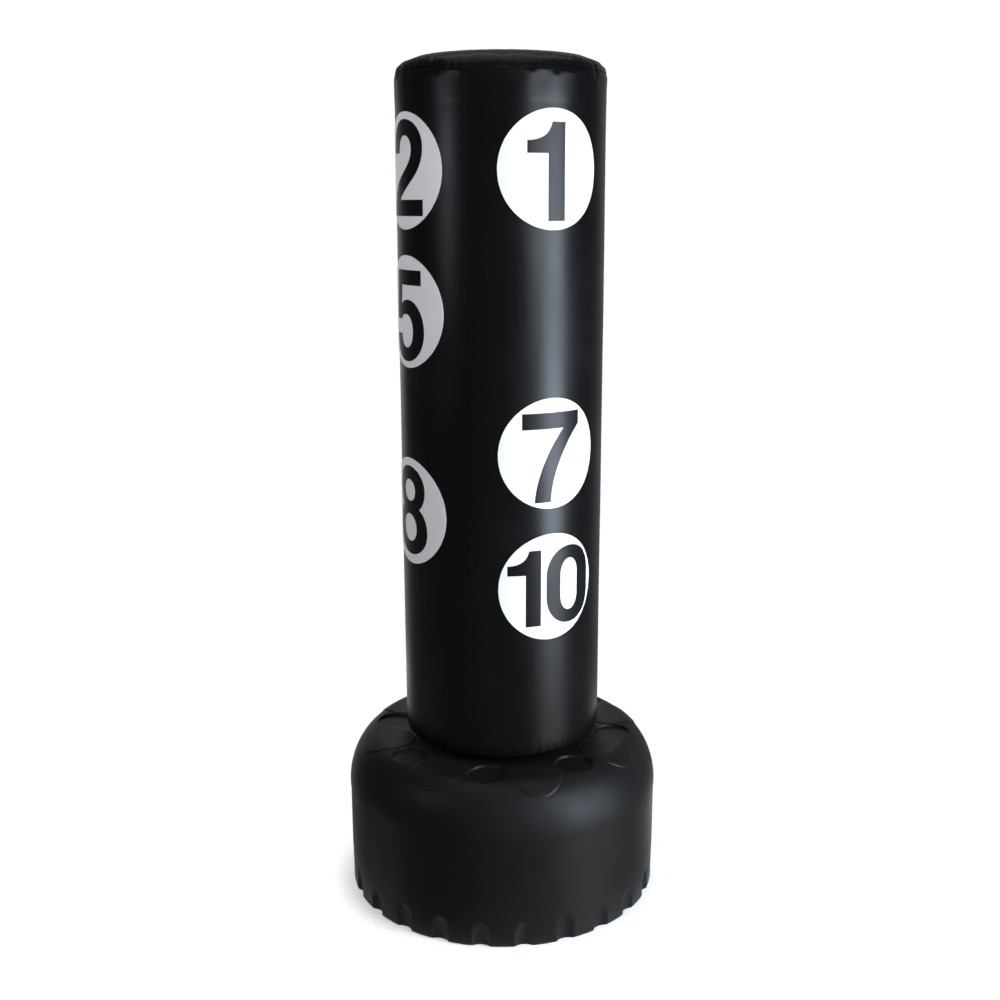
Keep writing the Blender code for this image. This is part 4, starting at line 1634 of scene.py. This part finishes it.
def six() -> list[Outline]:
    """Draws a 6.

    Returns:
        Its outlines.
    """
    pen = Pen(53, 42).round(1, 86, False).round(-58, 14, True).line((-58, -18)).round(0, -86, False)
    pen.round(57, -32, True).round(9, 22, False).curve((-7, 22), (-18, 15), (-25.5, 5))
    pen.curve((-25.5, 42), (-18, 61), (1, 61)).round(22, 42, True)
    return [pen.points, oval(-1, -31, 24.5, 28.5)]


def seven() -> list[Outline]:
    """Returns the outline of a 7."""
    pen = Pen(-58.8, 76).line((59.9, 76), (59.9, 51)).curve((35, 27), (-1, -30), (-2.4, -89.8))
    return [pen.line((-35, -89.8)).curve((-31, -40), (-8, 10), (23.8, 46.4)).line((-58.8, 46.4)).points]


def eight() -> list[Outline]:
    """Draws an 8.

    Returns:
        Its outlines.
    """
    pen = Pen(-2, 87.3).round(50, 43, True).curve((50, 27), (43, 14), (32, 7))
    pen.curve((46, 0), (56, -14), (56, -36)).round(-2, -84.9, False).round(-60, -36, True)
    pen.curve((-60, -14), (-50, 0), (-36, 7)).curve((-47, 14), (-54, 27), (-54, 43)).round(-2, 87.3, False)
    return [pen.points[:-1], oval(-3, 40, 22, 21), oval(-4, -33, 26.4, 26.7)]


def nine() -> list[Outline]:
    """Returns the outlines of a 9, which is a 6 turned half round."""
    return [[-point for point in outline] for outline in six()]


def ten() -> list[Outline]:
    """Draws a 10 from a smaller 1 and 0 side by side.

    Returns:
        Its outlines.
    """
    scale = 0.88
    left = [[point * scale + Vector((-41.7, 2.6)) for point in outline] for outline in one()]
    right = [[point * scale + Vector((40.8, -0.2)) for point in outline] for outline in zero()]
    return left + right


@dataclass
class NumberDiscs:
    """The ten white discs on the bag's side and the numeral on each."""

    layout: Layout
    finishes: Finishes
    wall: BagWall
    radius: float = 0.1025
    thickness: float = 0.001
    film: float = 0.00018
    column_turn: float = math.radians(35.75)
    upper_lift: float = 0.0025
    strip: float = 0.004
    rim_points: int = 128

    NUMERALS = {1: one, 2: two, 3: three, 4: four, 5: five, 6: six, 7: seven, 8: eight, 9: nine, 10: ten}
    COLUMNS = {1: 0, 2: 3, 3: 1, 4: 2, 5: 3, 6: 1, 7: 0, 8: 3, 9: 1, 10: 0}

    def wrapped(self, mesh: BMesh, turn: float, centre_z: float, inner: float, outer: float) -> None:
        """Gives a flat mesh a thickness and bends it round the bag.

        Args:
            mesh: The mesh, which is cut into strips for this.
            turn: The angle of its centre.
            centre_z: The height of its centre.
            inner: How far its inner face lies outside the bag's wall.
            outer: How far its outer face does.
        """
        half = int(self.radius / self.strip) + 1
        for normal, step in ((Vector((1, 0, 0)), 1), (Vector((0, 1, 0)), 3)):
            for i in range(-half, half + 1, step):
                place = normal * (i * self.strip)
                bmesh.ops.bisect_plane(
                    mesh, geom=everything(mesh), plane_co=place, plane_no=normal, dist=DOUBLES
                )
        raised = bmesh.ops.extrude_face_region(mesh, geom=mesh.faces[:], use_keep_orig=True)["geom"]
        lifted = {item for item in raised if isinstance(item, bmesh.types.BMVert)}
        for vert in mesh.verts:
            angle = turn + vert.co.x / self.layout.bag_radius
            z = centre_z + vert.co.y
            wall = self.layout.bag_radius - self.wall.dent(angle, z)
            x, y = polar(wall + (outer if vert in lifted else inner), angle)
            vert.co = (x, y, z)
        bmesh.ops.recalc_face_normals(mesh, faces=mesh.faces)

    def numeral_mesh(self, outlines: list[Outline]) -> BMesh:
        """Fills a numeral's outlines.

        Args:
            outlines: The outlines, in millimetres.

        Returns:
            The flat numeral, in metres.
        """
        mesh = bmesh.new()
        for outline in outlines:
            verts = [mesh.verts.new((point.x / 1000, point.y / 1000, 0)) for point in outline]
            for first, second in zip(verts, verts[1:] + verts[:1]):
                mesh.edges.new((first, second))
        bmesh.ops.remove_doubles(mesh, verts=mesh.verts, dist=0.0001)
        bmesh.ops.triangle_fill(
            mesh, edges=mesh.edges[:], use_beauty=True, use_dissolve=False, normal=(0, 0, 1)
        )
        return mesh

    def build(self) -> None:
        """Makes the ten discs with their numerals."""
        face = CLEARANCE + self.thickness
        for number, outlines in self.NUMERALS.items():
            low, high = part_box(f"disc_{number}")
            centre_z = (low.z + high.z) / 2
            if number < 10:
                centre_z += self.upper_lift
            turn = self.column_turn + self.COLUMNS[number] * WHOLE_TURN / 4
            disc = bmesh.new()
            bmesh.ops.create_circle(disc, cap_ends=True, segments=self.rim_points, radius=self.radius)
            self.wrapped(disc, turn, centre_z, CLEARANCE, face)
            panel = new_object(f"number_disc_{number}", disc, self.finishes.white_vinyl)
            mounted(panel, Body.BAG, [f"disc_{number}"])
            numeral = self.numeral_mesh(outlines())
            self.wrapped(numeral, turn, centre_z, face, face + self.film)
            mounted(new_object(f"numeral_{number}", numeral, self.finishes.ink), Body.BAG)


@dataclass
class Core:
    """What carries the bag: threaded spigot, plywood ring, foam, and the rubber ring on the base's neck.

    Each end of the thread is given as its distance from the tube's end and the height over which it runs out.
    """

    layout: Layout
    finishes: Finishes
    thread_pitch: float = 0.0125
    thread_cut: float = 0.003
    spigot_wall: float = 0.006
    flange_height: float = 0.010
    post_wall: float = 0.006
    thread_gap: float = 0.0005
    thread_low_end: Point = (0, 0.006)
    thread_high_end: Point = (0.006, 0.012)
    flange_round: float = 0.0015
    throat_round: float = 0.001
    tube_fine: float = 0.001
    plate_round: float = 0.0015
    gasket_round: float = 0.0011
    foam_round: float = 0.004
    pad_rise: float = 0.012
    pad_edge_width: float = 0.086
    pad_edge_power: float = 2.8
    pad_crown: float = 0.009
    pad_gap: float = 0.001
    segments: int = 144

    def build_spigot(self) -> None:
        """Makes the spigot: a threaded tube under a flange, with the boss that carries the post."""
        low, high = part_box("core_spigot")
        ring_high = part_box("neck_gasket")[1]
        flange_low = ring_high.z + CLEARANCE
        flange_top = flange_low + self.flange_height
        thread = self.layout.socket_radius - self.thread_gap
        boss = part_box("core_post")[1].x - self.post_wall - CLEARANCE
        throat = boss - self.spigot_wall
        bore = thread - self.spigot_wall
        outside = [(boss, flange_top + 0.002), (boss, flange_top), (high.x, flange_top)]
        outside += [(high.x, flange_low), (thread, flange_low), (thread, flange_low - 0.002)]
        tube = walked([outside[-1], (thread, low.z)], self.tube_fine)
        inside = [(bore, low.z), (bore, flange_low), (throat, flange_top), (throat, high.z)]
        line = [(boss, high.z)] + filleted(outside, self.flange_round) + tube[1:]
        mesh = spun(line + filleted(inside, self.throat_round), self.segments)
        low_end, low_run = self.thread_low_end
        high_end, high_run = self.thread_high_end
        ends = [(low.z + low_end, low_run), (flange_low - high_end, -high_run)]
        press_thread(mesh, thread, self.thread_pitch, self.thread_cut, ends)
        spigot = new_object("spigot_threaded", mesh, self.finishes.core_plastic)
        mounted(spigot, Body.BAG, ["core_spigot"])

    def build_ring(self, node: str, name: str, body: Body, slot: str, soft: float) -> None:
        """Makes a plain ring in place of a node, round the node's own centre.

        Args:
            node: The node.
            name: The ring's name.
            body: What it rides on.
            slot: The record's material that it shows.
            soft: How far its edges are rounded.
        """
        low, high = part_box(node)
        centre = (low + high) / 2
        outer = high.x - centre.x
        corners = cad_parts[node].data.vertices
        inner = min(Vector(vert.co - centre).xy.length for vert in corners)
        line = [(outer, centre.z), (outer, low.z), (inner, low.z), (inner, high.z)]
        mesh = spun(filleted(line + [(outer, high.z), (outer, centre.z)], soft), self.segments)
        bmesh.ops.translate(mesh, verts=mesh.verts, vec=(centre.x, centre.y, 0))
        mounted(new_object(name, mesh, getattr(self.finishes, slot)), body, [node])

    def build_foam(self) -> None:
        """Makes the foam sleeves and the top pad, which fill the cover."""
        self.build_ring("foam_inner", "foam_core_sleeve", Body.BAG, "dense_foam", self.foam_round)
        self.build_ring("foam_outer", "foam_soft_sleeve", Body.BAG, "soft_foam", self.foam_round)
        low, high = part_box("foam_top")
        side = (high.x - self.pad_gap, low.z + self.pad_rise)
        size = (self.pad_edge_width, high.z - side[1] - self.pad_crown)
        corner = soft_corner(side, size, self.pad_edge_power, steps=10)
        line = [(0, low.z), (high.x - 3 * self.pad_gap, low.z)] + corner + [(0, high.z - self.pad_gap)]
        pad = new_object("foam_top_pad", spun(line, self.segments), self.finishes.soft_foam)
        mounted(pad, Body.BAG, ["foam_top"])

    def build(self) -> None:
        """Makes the core's pieces and dresses the nodes that stay."""
        self.build_spigot()
        self.build_ring("neck_gasket", "neck_ring_seal", Body.NECK_RING, "seal_rubber", self.gasket_round)
        self.build_ring("foam_plate", "plywood_ring", Body.BAG, "birch_ply", self.plate_round)
        self.build_foam()
        dressed = {"core_post": self.finishes.pipe_plastic, "core_cap": self.finishes.core_plastic}
        for i in range(1, 5):
            dressed[f"post_screw_{i}"] = self.finishes.zinc_steel
            dressed[f"plate_screw_{i}"] = self.finishes.zinc_steel
        for node, finish in dressed.items():
            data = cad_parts[node].data
            data.materials.clear()
            data.materials.append(finish)


@dataclass
class FillCap:
    """The tank's screw-in cap with its finger bar, and the sealing ring under it."""

    finishes: Finishes
    core: Core
    plug_length: float = 0.016
    plug_radius: float = 0.0215
    plug_wall: float = 0.0035
    plug_ledge: float = 0.0005
    plug_tip: float = 0.001
    head_round: float = 0.004 / 3
    rim_reach: float = 0.0001
    pocket_margin: float = 0.005
    pocket_depth: float = 0.004
    pocket_round: float = 0.001
    bar_width: float = 0.009
    rib_count: int = 36
    rib_depth: float = 0.0004
    pitch: float = 0.004
    thread_cut: float = 0.0009
    thread_end: float = 0.003
    gasket_round: float = 0.0007
    segments: int = 216
    pocket_segments: int = 96

    def build(self) -> None:
        """Makes the cap and its ring."""
        low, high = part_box("fill_cap")
        centre = (low + high) / 2
        head = high.x - centre.x
        seat = low.z + self.plug_length
        plug = self.plug_radius
        inner = plug - self.plug_wall
        top = [(0, high.z), (head, high.z), (head, seat), (plug + self.plug_ledge, seat)]
        line = filleted(top, self.head_round)
        line += walked([(plug, seat), (plug, low.z + self.plug_tip)], self.pitch / 10)
        line += [(plug - self.plug_tip, low.z), (inner, low.z), (inner, seat), (0, seat)]
        mesh = spun(line, self.segments)
        press_thread(mesh, plug, self.pitch, self.thread_cut, [(seat, -self.thread_end)])
        for vert in mesh.verts:
            radius = vert.co.xy.length
            if abs(radius - head) < self.rim_reach and vert.co.z > seat:
                rib = 0.5 - 0.5 * math.cos(self.rib_count * angle_of(vert.co))
                vert.co.xy *= (radius - self.rib_depth * rib) / radius
        cap = new_object("fill_cap_dressed", mesh, self.finishes.core_plastic)
        cut(cap, self.pocket(head, high.z, 1))
        cut(cap, self.pocket(head, high.z, -1))
        cap.data.transform(Matrix.Translation((centre.x, centre.y, 0)))
        cap.data.shade_smooth()
        cap.data.set_sharp_from_angle(angle=math.radians(SMOOTH_ANGLE))
        mounted(cap, Body.CAP, ["fill_cap"])
        edge = self.gasket_round
        self.core.build_ring("fill_gasket", "fill_ring_seal", Body.FILL_RING, "seal_rubber", edge)

    def pocket(self, head: float, top: float, side: int) -> BMesh:
        """Makes the cutter of one finger pocket.

        Args:
            head: The radius of the cap's head.
            top: The height of its top.
            side: 1 or -1 for the two sides of the finger bar.

        Returns:
            The cutter.
        """
        radius = head - self.pocket_margin
        low = top - self.pocket_depth
        high = top + 0.002
        line = filleted([(0, high), (radius, high), (radius, low), (0, low)], self.pocket_round)
        mesh = spun(line, self.pocket_segments)
        found = bmesh.ops.bisect_plane(
            mesh, geom=everything(mesh), plane_co=(0, side * self.bar_width / 2, 0), plane_no=(0, -side, 0),
            clear_outer=True
        )
        rim = [item for item in found["geom_cut"] if isinstance(item, bmesh.types.BMEdge)]
        bmesh.ops.edgeloop_fill(mesh, edges=rim)
        bmesh.ops.recalc_face_normals(mesh, faces=mesh.faces)
        return mesh


@dataclass(frozen=True)
class Softbox:
    """A studio light's panel, placed round the object and turned towards it."""

    name: str
    azimuth: float
    distance: float
    height: float
    size: Point
    watts: float
    colour: Colour = (1.0, 1.0, 1.0)
    aim: float = 0.9
    mirrored: bool = True

    def hang(self) -> None:
        """Makes the light. Its azimuth is in degrees from the front towards +X."""
        data = bpy.data.lights.new(self.name, "AREA")
        data.shape = "RECTANGLE"
        data.size, data.size_y = self.size
        data.energy = self.watts
        data.color = self.colour
        lamp = bpy.data.objects.new(self.name, data)
        x, y = polar(self.distance, math.radians(self.azimuth))
        lamp.location = (x, y, self.height)
        lamp.visible_glossy = self.mirrored
        towards = Vector((0, 0, self.aim)) - lamp.location
        lamp.rotation_euler = towards.to_track_quat("-Z", "Y").to_euler()
        bpy.context.scene.collection.objects.link(lamp)


@dataclass
class Studio:
    """The camera, the pale floor and the soft lights."""

    camera_azimuth: float = 7.5
    camera_distance: float = 2.425
    camera_height: float = 1.366
    camera_pitch: float = 13.31
    camera_roll: float = -0.14
    focal_pixels: float = 1259.0
    frame_pixels: float = 1000.0
    axis_pixel: float = 501.5
    lowered_pixels: float = 0.4
    sensor: float = 36.0
    floor_radius: float = 0.62
    floor_drop: float = 0.0004
    floor_fade: Point = (0.314, 0.365)
    floor_glow: float = 0.25
    dome: Colour = (0.05, 0.051, 0.054)
    dome_below: Colour = (0.17, 0.17, 0.17)
    below_reach: Point = (0, -0.5)
    backdrop: Colour = (0.3, 0.3, 0.31)
    backdrop_reach: Point = (0.55, 0.98)
    white_strength: float = 1.02

    def build_camera(self) -> None:
        """Places the camera where the photograph was taken from."""
        data = bpy.data.cameras.new("camera")
        data.sensor_width = self.sensor
        data.lens = self.focal_pixels * self.sensor / self.frame_pixels
        data.shift_x = (self.frame_pixels / 2 - self.axis_pixel) / self.frame_pixels
        data.shift_y = self.lowered_pixels / self.frame_pixels
        camera = bpy.data.objects.new("camera", data)
        azimuth = math.radians(self.camera_azimuth)
        x, y = polar(self.camera_distance, azimuth)
        heading = Matrix.Rotation(azimuth, 4, "Z")
        pitch = Matrix.Rotation(math.radians(90 - self.camera_pitch), 4, "X")
        turn = heading @ pitch @ Matrix.Rotation(math.radians(self.camera_roll), 4, "Z")
        camera.matrix_world = Matrix.Translation((x, y, self.camera_height)) @ turn
        bpy.context.scene.collection.objects.link(camera)
        bpy.context.scene.camera = camera

    def build_world(self) -> None:
        """Makes a white world that lights the object as a dim room with a pale backdrop does."""
        world = bpy.data.worlds.new("studio")
        world.use_nodes = True
        nodes = Nodes(world.node_tree)
        heading = nodes.node("SeparateXYZ", Vector=nodes.node("TexCoord").outputs["Generated"]).outputs
        room = nodes.mixed(nodes.ranged(heading["Z"], self.below_reach), self.dome, self.dome_below)
        lit = nodes.mixed(nodes.ranged(heading["Y"], self.backdrop_reach), room, self.backdrop)
        dim = world.node_tree.nodes["Background"]
        white = nodes.node("Background", Color=(1.0, 1.0, 1.0, 1.0), Strength=self.white_strength)
        mix = nodes.node("MixShader", Fac=nodes.node("LightPath").outputs["Is Camera Ray"])
        surface = world.node_tree.nodes["World Output"].inputs["Surface"]
        world.node_tree.links.new(lit, dim.inputs["Color"])
        world.node_tree.links.new(dim.outputs["Background"], mix.inputs[1])
        world.node_tree.links.new(white.outputs["Background"], mix.inputs[2])
        world.node_tree.links.new(mix.outputs["Shader"], surface)
        bpy.context.scene.world = world

    def build_floor(self) -> None:
        """Makes the pale floor, which fades into the backdrop away from the object."""
        mesh = bmesh.new()
        bmesh.ops.create_circle(mesh, cap_ends=True, segments=96, radius=self.floor_radius)
        bmesh.ops.translate(mesh, verts=mesh.verts, vec=(0, 0, -self.floor_drop))
        sheet = NodeSheet("pale_floor", (0.93, 0.92, 0.915), 0.7)
        sheet.shader.inputs["Emission Color"].default_value = (1.0, 1.0, 1.0, 1.0)
        sheet.shader.inputs["Emission Strength"].default_value = self.floor_glow
        length = sheet.node("VectorMath", {"operation": "LENGTH"}, Vector=sheet.place).outputs["Value"]
        fade = sheet.ranged(length, self.floor_fade, (1, 0))
        sheet.tree.links.new(fade, sheet.shader.inputs["Alpha"])
        new_object("floor", mesh, sheet.material)

    def build(self) -> None:
        """Makes the whole studio."""
        self.build_camera()
        self.build_world()
        self.build_floor()
        boxes = [
            Softbox("side_box", 65, 2.2, 0.88, (0.85, 1.76), 69, (0.76, 0.86, 1.0), aim=0.88),
            Softbox("side_box_low", 65, 2.15, 0.5, (0.85, 0.9), 17, (0.76, 0.86, 1.0), aim=0.5),
            Softbox("side_box_edge", 45, 2.2, 1.46, (0.6, 0.7), 13, (0.85, 0.9, 1.0), aim=1.46),
            Softbox("side_sweep", 66, 2.2, -0.95, (1.3, 1.8), 11, (1.0, 0.96, 0.91), aim=-0.95),
            Softbox("left_box", -50, 2.3, 1.48, (0.48, 0.4), 5.2, (0.86, 0.88, 1.0), aim=1.48),
            Softbox("left_sweep", -88, 2.2, -1.3, (1.0, 1.0), 2, aim=-1.3),
            Softbox("front_fill", -40, 3.2, 3.7, (5.6, 4.2), 102, (0.96, 0.96, 1.0), aim=1.0, mirrored=False),
            Softbox("overhead", 0, 0.1, 3.4, (2.6, 2.6), 20, aim=0),
            Softbox("back_left", -142, 2.6, 0.6, (1.2, 2.4), 3.6, aim=0.6),
            Softbox("back_band", 187.5, 2.3, 1.0, (0.34, 1.7), 5, (0.9, 0.94, 1.0), aim=0.95),
            Softbox("back_fill", 187.5, 3.2, 2.4, (3, 3), 60, (0.97, 0.98, 1.0), aim=1.0, mirrored=False),
            Softbox("low_left", -142, 2.6, -1.1, (1.2, 1.2), 1.3, aim=-1.1),
            Softbox("low_right", 152, 2.6, -1.3, (1.2, 1.2), 4, aim=-1.3),
        ]
        for box in boxes:
            box.hang()
        bpy.context.scene.view_settings.view_transform = "Standard"


def main() -> None:
    """Builds the bag and its studio in order."""
    logging.basicConfig(level=logging.INFO, format="%(name)s at %(relativeCreated)d ms: %(message)s")
    Studio().build()
    layout = Layout.from_frame()
    finishes = Finishes()
    wall = BagWall(layout)
    core = Core(layout, finishes)
    MouldedBase(layout, finishes).build()
    core.build()
    FillCap(finishes, core).build()
    PaddedCover(layout, finishes, wall).build()
    NumberDiscs(layout, finishes, wall).build()


if __name__ == "__main__":
    main()
